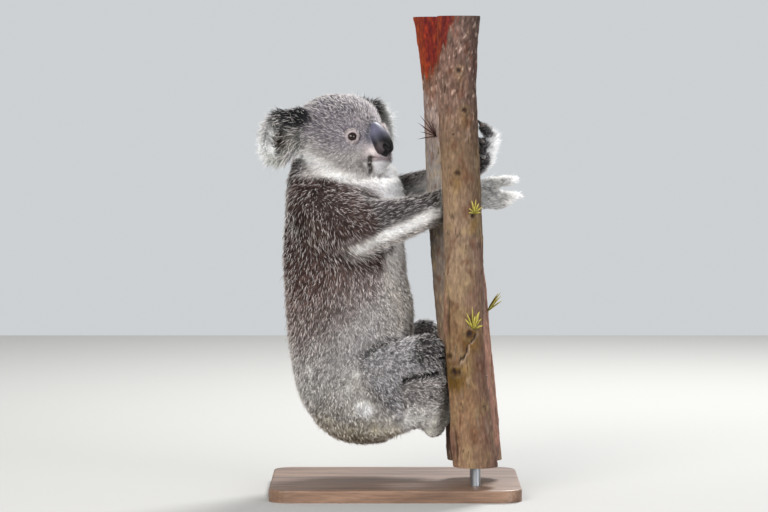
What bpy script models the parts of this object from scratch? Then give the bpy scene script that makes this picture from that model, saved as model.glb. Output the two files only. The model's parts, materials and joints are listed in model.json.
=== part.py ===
"""A life-size koala that clings to two gum stems, on a plain display stand.

Metres, +Z up. The origin is the middle of the underside of the stand's base. The koala faces +X, towards the
stems, with its right side towards -Y, and turns its head to its right. Its outline is that of the coat.
The body is one fused form, parted into its limbs by thin cuts.
"""

import math

import bmesh
import bpy
import numpy as np
from mathutils import Matrix, Vector

# ---- driving dimensions, in metres ----
CUT = 0.0003  # gap left by each cut and at each contact
SOFT_VOXEL, BODY_VOXEL = 0.006, 0.003
BODY_TRIANGLES = 3300

BASE_LENGTH, BASE_WIDTH, BASE_THICKNESS = 0.360, 0.300, 0.018
BASE_CORNER, BASE_EDGE = 0.030, 0.003
ROD_RADIUS = 0.007
PERCH_FOOT, PERCH_TOP = 0.058, 0.700
SET_DOWN = 0.012  # the koala and its perch are drawn this much higher than they stand

REAR_RADIUS, FRONT_RADIUS = 0.038, 0.0283
STEM_GAP = 0.027  # between the two stems, where the near hand and foot pass
FRONT_Y = -(REAR_RADIUS + STEM_GAP + FRONT_RADIUS)

SHOULDER_HEIGHT, HIP_HEIGHT = 0.432, 0.168
HEAD_CENTRE = Vector((-0.093, 0.0, 0.545))  # midway between the ears
HEAD_TURN, HEAD_ROLL = math.radians(40), math.radians(4)
FINGER, TOE = 0.0082, 0.0085  # radii, coat included
CLAW_LENGTH, CLAW_RADIUS = 0.021, 0.0034


def mm(*values):
    """A vector given in millimetres."""
    return Vector(values) / 1000


# ---- Blender helpers ----
def clear_scene():
    for obj in list(bpy.data.objects):
        bpy.data.objects.remove(obj)


def finish_of(name, colour, roughness, metallic=0.0):
    """A Principled material, made once for each name."""
    if name in bpy.data.materials:
        return bpy.data.materials[name]
    made = bpy.data.materials.new(name)
    made.use_nodes = True
    shader = made.node_tree.nodes["Principled BSDF"]
    shader.inputs["Base Color"].default_value = (*colour, 1)
    shader.inputs["Roughness"].default_value = roughness
    shader.inputs["Metallic"].default_value = metallic
    return made


def object_of(name, mesh):
    obj = bpy.data.objects.new(name, mesh)
    bpy.context.scene.collection.objects.link(obj)
    return obj


def object_from(name, bm):
    bmesh.ops.recalc_face_normals(bm, faces=bm.faces)
    mesh = bpy.data.meshes.new(name)
    bm.to_mesh(mesh)
    bm.free()
    return object_of(name, mesh)


def applied(obj):
    """Applies the object's modifiers."""
    graph = bpy.context.evaluated_depsgraph_get()
    mesh = bpy.data.meshes.new_from_object(obj.evaluated_get(graph))
    obj.modifiers.clear()
    obj.data = mesh
    return obj


def boolean(obj, other, operation):
    """Applies a Boolean with another object, which stays."""
    modifier = obj.modifiers.new("boolean", "BOOLEAN")
    modifier.object = other
    modifier.operation = operation
    return applied(obj)


# ---- shapes ----
def through(points, count):
    """Catmull-Rom curve through rows of numbers, as count rows."""
    rows = np.array([tuple(p) for p in points], float)
    rows = np.vstack([2 * rows[0] - rows[1], rows, 2 * rows[-1] - rows[-2]])
    made = []
    for t in np.linspace(0, len(rows) - 3, count):
        i = min(int(t), len(rows) - 4)
        u = t - i
        a, b, c, d = rows[i : i + 4]
        made.append(
            0.5 * (2 * b + (c - a) * u + (2 * a - 5 * b + 4 * c - d) * u**2 + (3 * b - a - 3 * c + d) * u**3)
        )
    return made


def loft(name, rings):
    """A closed solid through rings of points, with a flat cap on each end."""
    bm = bmesh.new()
    loops = [[bm.verts.new(p) for p in ring] for ring in rings]
    count = len(loops[0])
    for below, above in zip(loops, loops[1:]):
        for i in range(count):
            j = (i + 1) % count
            bm.faces.new((below[i], below[j], above[j], above[i]))
    bm.faces.new(loops[0])
    bm.faces.new(loops[-1])
    return object_from(name, bm)


def ellipse(centre, across, along, sides):
    return [
        centre + across * math.cos(a) + along * math.sin(a)
        for a in np.linspace(0, math.tau, sides, endpoint=False)
    ]


def tube(name, points, radii, flat=1.0, side=None, sides=16, steps=None):
    """A tube through points, round at its ends. flat is the depth across side as a share of the radius."""
    steps = steps or 6 * (len(points) - 1) + 1
    path = [Vector(p) for p in through(points, steps)]
    sizes = [float(r[0]) for r in through([(r,) for r in radii], steps)]
    rings = []
    for i, centre in enumerate(path):
        ahead = (path[min(i + 1, steps - 1)] - path[max(i - 1, 0)]).normalized()
        across = (side or Vector((0.2, 1, 0.3))).cross(ahead).normalized()
        depth = ahead.cross(across)
        rings.append((centre, ahead, across * sizes[i], depth * sizes[i] * flat))
    for place, way in ((0, -1), (-1, 1)):
        centre, ahead, across, depth = rings[place]
        bulge = [
            (centre + ahead * way * across.length * math.sin(a), ahead, across * math.cos(a), depth * math.cos(a))
            for a in (0.5, 0.95, 1.3)
        ]
        rings = bulge[::-1] + rings if way < 0 else rings + bulge
    return loft(name, [ellipse(c, a, d, sides) for c, _, a, d in rings])


def ball(name, centre, radii, turn=None, detail=4):
    """An ellipsoid. turn is a 3x3 matrix whose columns are its axes."""
    bm = bmesh.new()
    bmesh.ops.create_icosphere(bm, subdivisions=detail, radius=1)
    place = Matrix.Translation(centre) @ (turn or Matrix.Identity(3)).to_4x4() @ Matrix.Diagonal((*radii, 1))
    bmesh.ops.transform(bm, matrix=place, verts=bm.verts)
    return object_from(name, bm)


def block(name, corner, opposite, frame=None):
    """A box between two corners of a frame, which is a 4x4 matrix."""
    bm = bmesh.new()
    bmesh.ops.create_cube(bm, size=1)
    size, middle = opposite - corner, (corner + opposite) / 2
    place = (frame or Matrix.Identity(4)) @ Matrix.Translation(middle) @ Matrix.Diagonal((*size, 1))
    bmesh.ops.transform(bm, matrix=place, verts=bm.verts)
    return object_from(name, bm)


def fused(name, pieces, voxel, smoothing, triangles=None):
    """One closed form from overlapping pieces, smoothed where they meet, thinned to a number of triangles."""
    bm = bmesh.new()
    for piece in pieces:
        bm.from_mesh(piece.data)
        bpy.data.objects.remove(piece)
    obj = object_from(name, bm)
    remesh = obj.modifiers.new("remesh", "REMESH")
    remesh.mode = "VOXEL"
    remesh.voxel_size = voxel
    smooth = obj.modifiers.new("smooth", "SMOOTH")
    smooth.factor, smooth.iterations = 0.5, smoothing
    applied(obj)
    if triangles is None:
        return obj
    corners = sum(len(face.vertices) - 2 for face in obj.data.polygons)
    decimate = obj.modifiers.new("decimate", "DECIMATE")
    decimate.ratio = triangles / corners
    return applied(obj)


# ---- the two stems ----
REAR_LINE = [mm(116, 0, 56), mm(108, 0, 150), mm(95, 0, 290), mm(84, 0, 435), mm(78, 0, 596), mm(67, 0, 700)]
FRONT_LINE = [mm(115, 0, 56), mm(106, 0, 150), mm(98, 0, 245), mm(98, 0, 350), mm(92, 0, 505), mm(87, 0, 610), mm(90, 0, 700)]


def stem_x(line, height):
    """The stem's centre line at a height."""
    fine = through(line, 60)
    return float(np.interp(height, [p[2] for p in fine], [p[0] for p in fine]))


def on_rear(angle, reach, height):
    """A point round the rear stem: angle in degrees from +X towards +Y, reach from its bark, height in mm."""
    turn, radius, height = math.radians(angle), REAR_RADIUS + reach, height / 1000
    return Vector(
        (stem_x(REAR_LINE, height) + radius * math.cos(turn), radius * math.sin(turn), height)
    )


def stem(name, line, y, radius, swell, grow=0.0):
    """A stem with level saw cuts at both ends. It thickens by swell at the foot and a little at the fork."""
    rings = []
    for height in np.linspace(PERCH_FOOT - grow, PERCH_TOP + grow, 14):
        low = max(0.0, 1 - (height - PERCH_FOOT) / 0.16)
        high = max(0.0, (height - 0.60) / 0.10)
        size = radius * (1 + swell * low**1.5 + 0.10 * high**2) + grow
        centre = Vector((stem_x(line, height), y, height))
        rings.append(ellipse(centre, Vector((size, 0, 0)), Vector((0, size, 0)), 18))
    return loft(name, rings)


def perch_pieces(grow=0.0, prefix="perch_stem_"):
    return [
        stem(prefix + "rear", REAR_LINE, 0.0, REAR_RADIUS, 0.06, grow),
        stem(prefix + "front", FRONT_LINE, FRONT_Y, FRONT_RADIUS, 0.16, grow),
    ]


# ---- the head, in its own frame: +X to the nose, +Y to the koala's left, +Z to the crown ----
def head_frame():
    forward = Vector((math.cos(HEAD_TURN), -math.sin(HEAD_TURN), 0))
    level = Vector((math.sin(HEAD_TURN), math.cos(HEAD_TURN), 0))
    left = level * math.cos(HEAD_ROLL) + Vector((0, 0, math.sin(HEAD_ROLL)))
    up = forward.cross(left)
    turn = Matrix((forward, left, up)).transposed()
    return Matrix.Translation(HEAD_CENTRE) @ turn.to_4x4()


HEAD = head_frame()
HEAD_TURNED = HEAD.to_3x3()
NOSE_PLACE, NOSE_RADII = mm(91, 0, -21), mm(13.5, 16, 29)
NOSE_LEAN = math.radians(33)
EYE_PLACE, EYE_RADIUS = mm(65.5, 31.5, -14.5), 0.0095


def head_pieces():
    def part(name, centre, radii, lean=0.0):
        turn = HEAD_TURNED @ Matrix.Rotation(lean, 3, "Y")
        return ball(name, HEAD @ centre, radii, turn)

    pieces = [
        part("cranium", mm(8, 0, -4), mm(60, 64, 50)),
        part("brow", mm(34, 0, 0), mm(42, 46, 38)),
        part("jaw", mm(32, 0, -42), mm(50, 50, 33)),
        part("muzzle", mm(74, 0, -38), mm(30, 27, 28)),
        part("bridge", mm(70, 0, -14), mm(26, 19, 22)),
        part("chin", mm(74, 0, -58), mm(20, 19, 16)),
    ]
    for side in (-1, 1):
        pieces.append(part("cheek", mm(24, side * 36, -28), mm(48, 36, 38)))
        pieces.append(part("lip", mm(78, side * 13, -46), mm(20, 15, 17)))
    return pieces


def ear_pieces():
    """Round ears that face forward and out, thin at the rim."""
    pieces = []
    for side, splay, reach in ((-1, -24, 97), (1, -4, 104)):
        turn = HEAD_TURNED @ Matrix.Rotation(math.radians(splay), 3, "Z")
        pieces.append(ball("ear", HEAD @ mm(-6, side * reach, -6), mm(14, 37, 39), turn))
        pieces.append(ball("fringe", HEAD @ mm(-8, side * (reach + 7), -22), mm(13, 34, 33), turn))
        pieces.append(ball("root", HEAD @ mm(-2, side * 68, -2), mm(20, 32, 36), turn))
    return pieces


def nose(name, grow=0.0):
    turn = HEAD_TURNED @ Matrix.Rotation(-NOSE_LEAN, 3, "Y")
    return ball(name, HEAD @ NOSE_PLACE, NOSE_RADII + Vector((grow,) * 3), turn, 3)


def eye(name, side, grow=0.0):
    place = Vector((EYE_PLACE.x, side * EYE_PLACE.y, EYE_PLACE.z))
    return ball(name, HEAD @ place, (EYE_RADIUS + grow,) * 3, detail=2)


# ---- trunk and neck ----
def torso_pieces():
    # height, middle, half depth, half width
    stations = (
        (80, -44, 20, 26),
        (88, -45, 44, 52),
        (104, -49, 62, 72),
        (130, -55, 76, 86),
        (165, -61, 85, 95),
        (210, -65, 89, 100),
        (260, -68, 91, 101),
        (310, -71, 91, 98),
        (360, -74, 90, 94),
        (405, -75, 86, 89),
        (440, -78, 82, 81),
        (470, -84, 73, 69),
        (500, -92, 58, 56),
    )
    rows = through([np.array(s) / 1000 for s in stations], 40)
    rings = [
        ellipse(Vector((middle, 0, height)), Vector((deep, 0, 0)), Vector((0, wide, 0)), 40)
        for height, middle, deep, wide in rows
    ]
    return [
        loft("barrel", rings),
        ball("ruff", mm(-34, -6, 456), mm(38, 44, 34)),
        ball("chest", mm(-30, 0, 410), mm(48, 62, 60)),
        ball("belly", mm(-30, 0, 265), mm(60, 80, 100)),
    ]


# ---- limbs ----
SHOULDER = {-1: mm(-106, -44, 428), 1: mm(-106, 44, 434)}
ELBOW = {-1: mm(-60, -112, 399), 1: mm(-44, 100, 424)}
WRIST = {-1: mm(66, -61, 430), 1: mm(74, 67, 464)}
HIP = {side: mm(-42, side * 60, 166) for side in (-1, 1)}
KNEE = {-1: mm(46, -86, 223), 1: mm(44, 88, 231)}
ANKLE = {-1: mm(50, -62, 126), 1: mm(50, 62, 134)}


def arm_pieces(side):
    middle = (ELBOW[side] + WRIST[side]) / 2 + mm(0, 0, -4)
    return [
        tube("upper", [SHOULDER[side], (SHOULDER[side] + ELBOW[side]) / 2, ELBOW[side]], mm(54, 51, 41)),
        tube("lower", [ELBOW[side], middle, WRIST[side]], mm(41, 33, 24)),
    ]


def leg_pieces(side):
    middle = (HIP[side] + KNEE[side]) / 2 + mm(0, side * 4, 0)
    out = mm(0, side, 0) * 1000
    return [
        ball("ham", mm(-20, side * 62, 160), mm(70, 46, 70)),
        tube("thigh", [HIP[side], middle, KNEE[side]], mm(62, 47, 30)),
        tube("shin", [KNEE[side], (KNEE[side] + ANKLE[side]) / 2 + out * 0.004, ANKLE[side]], mm(29, 29, 24)),
    ]


def near_hand_digits():
    """The near hand lies on the rear stem: two thumbs up the bark, three fingers held out past it."""
    palm = mm(96, -52, 432)
    return {
        "thumb_1": [palm + mm(-14, 0, 6), on_rear(-100, FINGER, 458), on_rear(-92, FINGER, 478)],
        "thumb_2": [palm + mm(4, 0, 8), on_rear(-76, FINGER, 464), on_rear(-60, FINGER, 482)],
        "finger_3": [palm + mm(12, 0, 8), mm(128, -50, 460), mm(150, -46, 463)],
        "finger_4": [palm + mm(12, 0, -2), mm(130, -49, 442), mm(156, -43, 442)],
        "finger_5": [palm + mm(8, 0, -11), mm(124, -43, 431), mm(144, -33, 431)],
    }


def far_hand_digits():
    """The far hand reaches round the back of the rear stem and curls over its right edge."""
    return {
        "thumb_1": [on_rear(62, 0.014, 486), on_rear(84, FINGER, 508), on_rear(92, FINGER, 526)],
        "thumb_2": [on_rear(54, 0.014, 492), on_rear(60, FINGER, 520), on_rear(62, FINGER, 538)],
        "finger_3": [on_rear(38, 0.014, 500), on_rear(14, 0.021, 524), on_rear(-6, FINGER, 541)],
        "finger_4": [on_rear(40, 0.013, 490), on_rear(10, 0.015, 509), on_rear(-14, FINGER, 519)],
        "finger_5": [on_rear(42, 0.012, 480), on_rear(12, 0.011, 492), on_rear(-14, FINGER, 497)],
    }


def foot_digits(side):
    """Four clawed toes round the stem's outer side. The bare first toe grips the other way."""
    lift = 10 if side > 0 else 0
    toes = {
        f"toe_{2 + i}": [
            on_rear(side * 124, 0.016, 124 + 12 * i + lift),
            on_rear(side * 100, TOE + 0.003, 128 + 15 * i + lift),
            on_rear(side * 76, TOE, 127 + 17 * i + lift),
        ]
        for i in range(4)
    }
    toes["toe_1"] = [
        on_rear(side * 136, 0.016, 124 + lift),
        on_rear(side * 154, TOE, 116 + lift),
        on_rear(side * 174, TOE, 112 + lift),
    ]
    return toes


def hand_pieces(side):
    if side < 0:
        palm = tube("palm", [WRIST[-1], mm(90, -55, 434), mm(108, -51, 438)], mm(24, 22, 19), 0.62, Vector((0, 1, 0)))
        digits = near_hand_digits()
    else:
        points = [WRIST[1], on_rear(70, 0.018, 478), on_rear(44, 0.014, 492)]
        palm = tube("palm", points, mm(24, 22, 20), 0.7, Vector((1, 1, 0)))
        digits = far_hand_digits()
    fingers = [tube(n, p, (FINGER * 1.1, FINGER, FINGER * 0.9), sides=12) for n, p in digits.items()]
    return [palm, *fingers]


def foot_pieces(side):
    lift = mm(0, 0, 10 if side > 0 else 0)
    heel = mm(55, side * 57, 112) + lift
    sole = [heel, mm(60, side * 56, 126) + lift, on_rear(side * 122, 0.016, 144) + lift]
    toes = foot_digits(side)
    body = tube("sole", sole, mm(18, 20, 18), 0.8, Vector((0, 1, 0)))
    return [body, *(tube(n, p, (TOE * 1.15, TOE, TOE * 0.9), sides=12) for n, p in toes.items())]


def claw(name, points):
    """A curved claw that carries on from a digit and turns down to the bark."""
    last, before = points[-1], points[-2]
    ahead = (last - before).normalized()
    inward = Vector((stem_x(REAR_LINE, last.z) - last.x, -last.y, 0)).normalized()
    droop = (inward - ahead * inward.dot(ahead)).normalized()
    rings = []
    for t in np.linspace(0, 1, 4):
        centre = last + ahead * (0.004 + CLAW_LENGTH * t) + droop * (CLAW_LENGTH * 0.22 * t**2 - 0.001)
        size = CLAW_RADIUS * (1 - 0.88 * t)
        across = ahead.cross(droop)
        rings.append(ellipse(centre, across * size * 0.8, droop * size, 6))
    return loft(name, rings)


# ---- parting the body ----
def limb_frame(start, end):
    """A frame at start whose +X runs to end, +Z as near up as can be."""
    along = (end - start).normalized()
    side = Vector((0, 0, 1)).cross(along).normalized()
    up = along.cross(side)
    return Matrix.Translation(start) @ Matrix((along, side, up)).transposed().to_4x4()


def cells():
    """Each part's box in order: name, corner, opposite corner, frame. A part is what is left in its box."""
    world = Matrix.Identity(4)
    found = [
        ("hand_R", mm(64, -130, 385), mm(240, 2, 500), world),
        ("hand_L", mm(72, -60, 425), mm(240, 130, 620), world),
    ]
    for side, tag in ((-1, "R"), (1, "L")):
        fore = limb_frame(ELBOW[side], WRIST[side])
        inner, outer = sorted((-side * 34, side * 60))
        found.append((f"forearm_{tag}", mm(22, inner, -46), mm(190, outer, 50), fore))
        upper = limb_frame(SHOULDER[side], ELBOW[side])
        found.append((f"upper_arm_{tag}", mm(30, -62, -58), mm(190, 62, 58), upper))
    for side, tag in ((-1, "R"), (1, "L")):
        lift = 8 if side > 0 else 0
        low, high = sorted((side * 2, side * 130))
        ankle = Matrix.Translation(mm(50, 0, 122 + lift)) @ Matrix.Rotation(math.radians(45), 4, "Y")
        found.append((f"foot_{tag}", mm(0, low, -90), mm(140, high, 120), ankle))
        found.append((f"shin_{tag}", mm(10, low, 96 + lift), mm(130, high, 190 + lift), world))
        thigh = limb_frame(HIP[side], KNEE[side])
        inner, outer = sorted((-side * 38, side * 80))
        found.append((f"thigh_{tag}", mm(22, inner, -80), mm(190, outer, 46), thigh))
        low, high = sorted((side * 74, side * 190))
        found.append((f"ear_{tag}", mm(-70, low, -76), mm(60, high, 80), HEAD))
    found.append(("head", mm(-260, -160, 474), mm(60, 160, 680), world))
    found.append(("neck", mm(-260, -160, 446), mm(60, 160, 474), world))
    return found


def only_largest(obj):
    """Drops the specks that a cut leaves."""
    bm = bmesh.new()
    bm.from_mesh(obj.data)
    bm.verts.index_update()
    seen, islands = set(), []
    for start in bm.verts:
        if start in seen:
            continue
        island, edge = {start}, [start]
        while edge:
            for link in edge.pop().link_edges:
                for vert in link.verts:
                    if vert not in island:
                        island.add(vert)
                        edge.append(vert)
        seen |= island
        islands.append(island)
    keep = max(islands, key=len)
    bmesh.ops.delete(bm, geom=[v for v in bm.verts if v not in keep], context="VERTS")
    bm.to_mesh(obj.data)
    bm.free()
    return obj


def parted(body):
    """Cuts the fused body into its named parts."""
    parts = []
    for name, corner, opposite, frame in cells():
        grow = Vector((CUT,) * 3)
        cell = block("cell", corner, opposite, frame)
        part = object_of(name, body.data.copy())
        parts.append(only_largest(boolean(part, cell, "INTERSECT")))
        wider = block("wider_cell", corner - grow, opposite + grow, frame)
        boolean(body, wider, "DIFFERENCE")
        bpy.data.objects.remove(cell)
        bpy.data.objects.remove(wider)
    body.name = "torso"
    parts.append(only_largest(body))
    return {part.name: part for part in parts}


# ---- stand ----
def stand():
    bm = bmesh.new()
    bmesh.ops.create_cube(bm, size=1)
    size = Matrix.Diagonal((BASE_LENGTH, BASE_WIDTH, BASE_THICKNESS, 1))
    bmesh.ops.transform(bm, matrix=Matrix.Translation((0, 0, BASE_THICKNESS / 2)) @ size, verts=bm.verts)
    upright = [e for e in bm.edges if abs(e.verts[0].co.z - e.verts[1].co.z) > BASE_THICKNESS / 2]
    bmesh.ops.bevel(bm, geom=upright, offset=BASE_CORNER, segments=6, profile=0.5, affect="EDGES")
    top = max(bm.faces, key=lambda face: face.calc_center_median().z)
    bmesh.ops.bevel(bm, geom=list(top.edges), offset=BASE_EDGE, segments=2, profile=0.5, affect="EDGES")
    parts = [object_from("stand_base", bm)]
    for tag, line, y in (("rear", REAR_LINE, 0.0), ("front", FRONT_LINE, FRONT_Y)):
        low, high = BASE_THICKNESS + CUT, PERCH_FOOT - SET_DOWN - CUT
        centre = Vector((stem_x(line, PERCH_FOOT), y, 0))
        across, along = Vector((ROD_RADIUS, 0, 0)), Vector((0, ROD_RADIUS, 0))
        rings = [ellipse(centre + Vector((0, 0, z)), across, along, 20) for z in (low, high)]
        parts.append(loft(f"stand_rod_{tag}", rings))
    return parts


def koala():
    soft, firm = torso_pieces(), head_pieces() + ear_pieces()
    for side in (-1, 1):
        soft += arm_pieces(side) + leg_pieces(side)
        firm += hand_pieces(side) + foot_pieces(side)
    soft = fused("soft", soft, SOFT_VOXEL, 16)
    body = fused("body", [soft, *firm], BODY_VOXEL, 5, BODY_TRIANGLES)
    cutters = [*perch_pieces(CUT, "clear_"), nose("clear_nose", CUT)]
    cutters += [eye("clear_eye", side, CUT) for side in (-1, 1)]
    for cutter in cutters:
        boolean(body, cutter, "DIFFERENCE")
        bpy.data.objects.remove(cutter)
    only_largest(body)
    parts = parted(body)
    digits = {"hand_R": near_hand_digits(), "hand_L": far_hand_digits()}
    digits |= {"foot_R": foot_digits(-1), "foot_L": foot_digits(1)}
    for part, fingers in digits.items():
        for name, points in fingers.items():
            if name == "toe_1":
                continue
            made = claw("claw", points)
            boolean(parts[part], made, "UNION")
            bpy.data.objects.remove(made)
        for cutter in perch_pieces(CUT, "clear_"):
            boolean(parts[part], cutter, "DIFFERENCE")
            bpy.data.objects.remove(cutter)
        only_largest(parts[part])
    parts["nose"] = nose("nose")
    for side, tag in ((-1, "R"), (1, "L")):
        parts[f"eye_{tag}"] = eye(f"eye_{tag}", side)
    return parts


def main():
    clear_scene()
    coat = finish_of("coat", (0.30, 0.28, 0.27), 0.95)
    hide = finish_of("nose_leather", (0.05, 0.05, 0.06), 0.45)
    glass = finish_of("eye", (0.05, 0.025, 0.015), 0.05)
    bark = finish_of("bark", (0.38, 0.25, 0.17), 0.8)
    plinth = finish_of("stand_wood", (0.10, 0.07, 0.05), 0.4)
    steel = finish_of("rod_steel", (0.6, 0.6, 0.6), 0.3, 1.0)
    special = {"nose": hide, "eye_R": glass, "eye_L": glass}
    lower = Matrix.Translation((0, 0, -SET_DOWN))
    for name, part in koala().items():
        part.data.transform(lower)
        part.data.materials.clear()
        part.data.materials.append(special.get(name, coat))
    for part in perch_pieces():
        part.data.transform(lower)
        part.data.materials.append(bark)
    for part in stand():
        part.data.materials.append(plinth if part.name == "stand_base" else steel)


main()
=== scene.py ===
import json
import math

import bmesh
import bpy
import numpy as np
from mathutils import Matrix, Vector, noise
from mathutils.bvhtree import BVHTree
from mathutils.kdtree import KDTree

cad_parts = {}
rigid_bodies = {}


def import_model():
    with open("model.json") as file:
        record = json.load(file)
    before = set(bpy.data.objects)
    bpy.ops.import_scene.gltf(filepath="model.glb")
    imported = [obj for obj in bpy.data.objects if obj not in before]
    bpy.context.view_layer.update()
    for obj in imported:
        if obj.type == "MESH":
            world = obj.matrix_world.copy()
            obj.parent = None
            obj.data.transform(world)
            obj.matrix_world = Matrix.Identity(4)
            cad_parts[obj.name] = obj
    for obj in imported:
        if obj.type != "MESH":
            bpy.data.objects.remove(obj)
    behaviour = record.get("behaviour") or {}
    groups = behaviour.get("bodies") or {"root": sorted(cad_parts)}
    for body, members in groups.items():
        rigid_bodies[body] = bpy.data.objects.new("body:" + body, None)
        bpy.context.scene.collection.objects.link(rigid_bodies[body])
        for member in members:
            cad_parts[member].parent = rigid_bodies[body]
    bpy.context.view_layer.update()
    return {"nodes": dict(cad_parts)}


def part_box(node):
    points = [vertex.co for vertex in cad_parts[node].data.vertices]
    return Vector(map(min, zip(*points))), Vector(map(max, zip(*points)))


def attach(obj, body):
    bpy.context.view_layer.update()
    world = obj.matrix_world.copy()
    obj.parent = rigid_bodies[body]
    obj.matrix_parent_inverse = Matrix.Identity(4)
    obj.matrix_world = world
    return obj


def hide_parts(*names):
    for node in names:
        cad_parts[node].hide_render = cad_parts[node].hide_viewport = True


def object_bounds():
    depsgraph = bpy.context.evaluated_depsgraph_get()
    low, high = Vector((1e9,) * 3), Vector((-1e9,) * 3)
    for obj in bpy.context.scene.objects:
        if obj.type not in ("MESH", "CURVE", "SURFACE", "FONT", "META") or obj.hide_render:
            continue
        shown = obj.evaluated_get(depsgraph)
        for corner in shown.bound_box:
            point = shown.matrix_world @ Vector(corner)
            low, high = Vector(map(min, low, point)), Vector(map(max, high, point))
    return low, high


for leftover in list(bpy.data.objects):
    bpy.data.objects.remove(leftover)
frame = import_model()

# A koala clinging to two stems: skin and coat first, then eyes, nose, claws, stems, stand and studio.
# Sizes are in millimetres where the name ends in Mm, and in metres otherwise.

mm = 0.001
random = np.random.default_rng(41)


def linear(hexColour):
    parts = [int(hexColour[i:i + 2], 16) / 255 for i in (1, 3, 5)]
    return np.array([c / 12.92 if c <= 0.04045 else ((c + 0.055) / 1.055) ** 2.4 for c in parts])


def rgba(hexColour):
    return (*linear(hexColour), 1.0)


def unit(v):
    v = np.asarray(v, float)
    return v / np.maximum(np.linalg.norm(v, axis=-1, keepdims=True), 1e-9)


def ease(x, low, high):  # 0 below low, 1 above high, smooth between
    t = np.clip((np.asarray(x, float) - low) / (high - low), 0, 1)
    return t * t * (3 - 2 * t)


def blend(first, second, share):  # the first where the share is 0, the second where it is 1
    return first * (1 - share) + second * share


def colourAt(stops, places):  # stops: (place, colour), in order
    table = np.array([linear(colour) for _, colour in stops])
    return np.stack([np.interp(places, [place for place, _ in stops], table[:, i]) for i in range(3)], 1)


def cloud(points, size, seed=0.0, depth=1):  # soft lumps about `size` across, from -1 to 1
    shifted = points / size + seed
    return np.array([noise.fractal(Vector(p), 0.6, 2.1, depth) for p in shifted])


def lineWeight(points, line, width):  # 1 on a bent line, falling off over `width`
    best = np.full(len(points), 1e9)
    for start, end in zip(line[:-1], line[1:]):
        start, end = np.array(start, float), np.array(end, float)
        step = end - start
        t = np.clip((points - start) @ step / (step @ step), 0, 1)
        best = np.minimum(best, np.linalg.norm(points - start - t[:, None] * step, axis=1))
    return np.exp(-(best / width) ** 2)


def middle(node):
    low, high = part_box(node)
    return (np.array(low) + np.array(high)) / 2


def addNode(tree, kind, settings={}, inputs={}):
    node = tree.nodes.new("ShaderNode" + kind)
    for name, value in settings.items():
        if name == "stops":
            ramp = node.color_ramp.elements
            while len(ramp) < len(value):
                ramp.new(0.5)
            for element, (place, colour) in zip(ramp, value):
                element.position = place
                element.color = colour
        else:
            setattr(node, name, value)
    for name, value in inputs.items():
        if isinstance(value, bpy.types.NodeSocket):
            tree.links.new(value, node.inputs[name])
        else:
            node.inputs[name].default_value = value
    return node


def newMaterial(name, surface):
    material = bpy.data.materials.new(name)
    material.use_nodes = True
    tree = material.node_tree
    tree.nodes.clear()
    shader = addNode(tree, "BsdfPrincipled", inputs=surface)
    output = addNode(tree, "OutputMaterial")
    tree.links.new(shader.outputs[0], output.inputs[0])
    return material, tree, shader


def texturedMaterial(name, surface, colours, look):
    # colours: a colour layer's name, or stops of stain along a slow noise
    # look: the grain's grainMm, detail, stretch and stops, the shades it gives from dark to light, its relief
    # (strength, depth in mm), and poresMm where pores give the relief instead
    material, tree, shader = newMaterial(name, surface)
    scale = 1 / (look["grainMm"] * mm)
    stretch = look.get("stretch", (1, 1, 1))
    place = addNode(tree, "TexCoord").outputs["Object"]
    place = addNode(tree, "Mapping", inputs={"Vector": place, "Scale": stretch}).outputs[0]
    if isinstance(colours, str):
        colour = addNode(tree, "VertexColor", {"layer_name": colours}).outputs["Color"]
    else:
        slow = addNode(tree, "TexNoise", inputs={"Vector": place, "Scale": scale / 9, "Detail": 4.0})
        stops = [(at, rgba(stain)) for at, stain in colours]
        colour = addNode(tree, "ValToRGB", {"stops": stops}, {"Fac": slow.outputs["Fac"]}).outputs["Color"]
    grain = addNode(tree, "TexNoise", inputs={"Vector": place, "Scale": scale, "Detail": look["detail"]})
    ends = zip(look.get("stops", (0.3, 0.7)), look["shades"])
    stops = [(at, (*np.broadcast_to(shade, 3), 1)) for at, shade in ends]
    shade = addNode(tree, "ValToRGB", {"stops": stops}, {"Fac": grain.outputs["Fac"]})
    mixed = addNode(tree, "Mix", {"data_type": "RGBA", "blend_type": "MULTIPLY"},
                    {0: 1.0, 6: colour, 7: shade.outputs["Color"]})
    tree.links.new(mixed.outputs[2], shader.inputs["Base Color"])
    if "relief" in look:
        height = grain.outputs["Fac"]
        if "poresMm" in look:
            pores = addNode(tree, "TexVoronoi", inputs={"Vector": place, "Scale": 1 / (look["poresMm"] * mm)})
            height = pores.outputs["Distance"]
        strength, deep = look["relief"]
        bump = addNode(tree, "Bump", inputs={"Height": height, "Strength": strength, "Distance": deep * mm})
        tree.links.new(bump.outputs["Normal"], shader.inputs["Normal"])
    return material


def makeMesh(name, points, faces):
    faces = np.asarray(faces, np.int32)
    sides = faces.shape[1]
    mesh = bpy.data.meshes.new(name)
    mesh.vertices.add(len(points))
    mesh.vertices.foreach_set("co", np.asarray(points, np.float32).ravel())
    mesh.loops.add(faces.size)
    mesh.loops.foreach_set("vertex_index", faces.ravel())
    mesh.polygons.add(len(faces))
    mesh.polygons.foreach_set("loop_start", np.arange(0, faces.size, sides, dtype=np.int32))
    mesh.update(calc_edges=True)
    return mesh


def colourPoints(mesh, name, colours):
    layer = mesh.color_attributes.new(name, "FLOAT_COLOR", "POINT")
    full = np.ones((len(colours), 4), np.float32)
    full[:, :3] = colours
    layer.data.foreach_set("color", full.ravel())


def addPiece(name, mesh, material, replaced=()):
    piece = bpy.data.objects.new(name, mesh)
    bpy.context.scene.collection.objects.link(piece)
    piece.data.materials.append(material)
    if replaced:
        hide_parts(*replaced)
    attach(piece, "root")
    return piece


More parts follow.
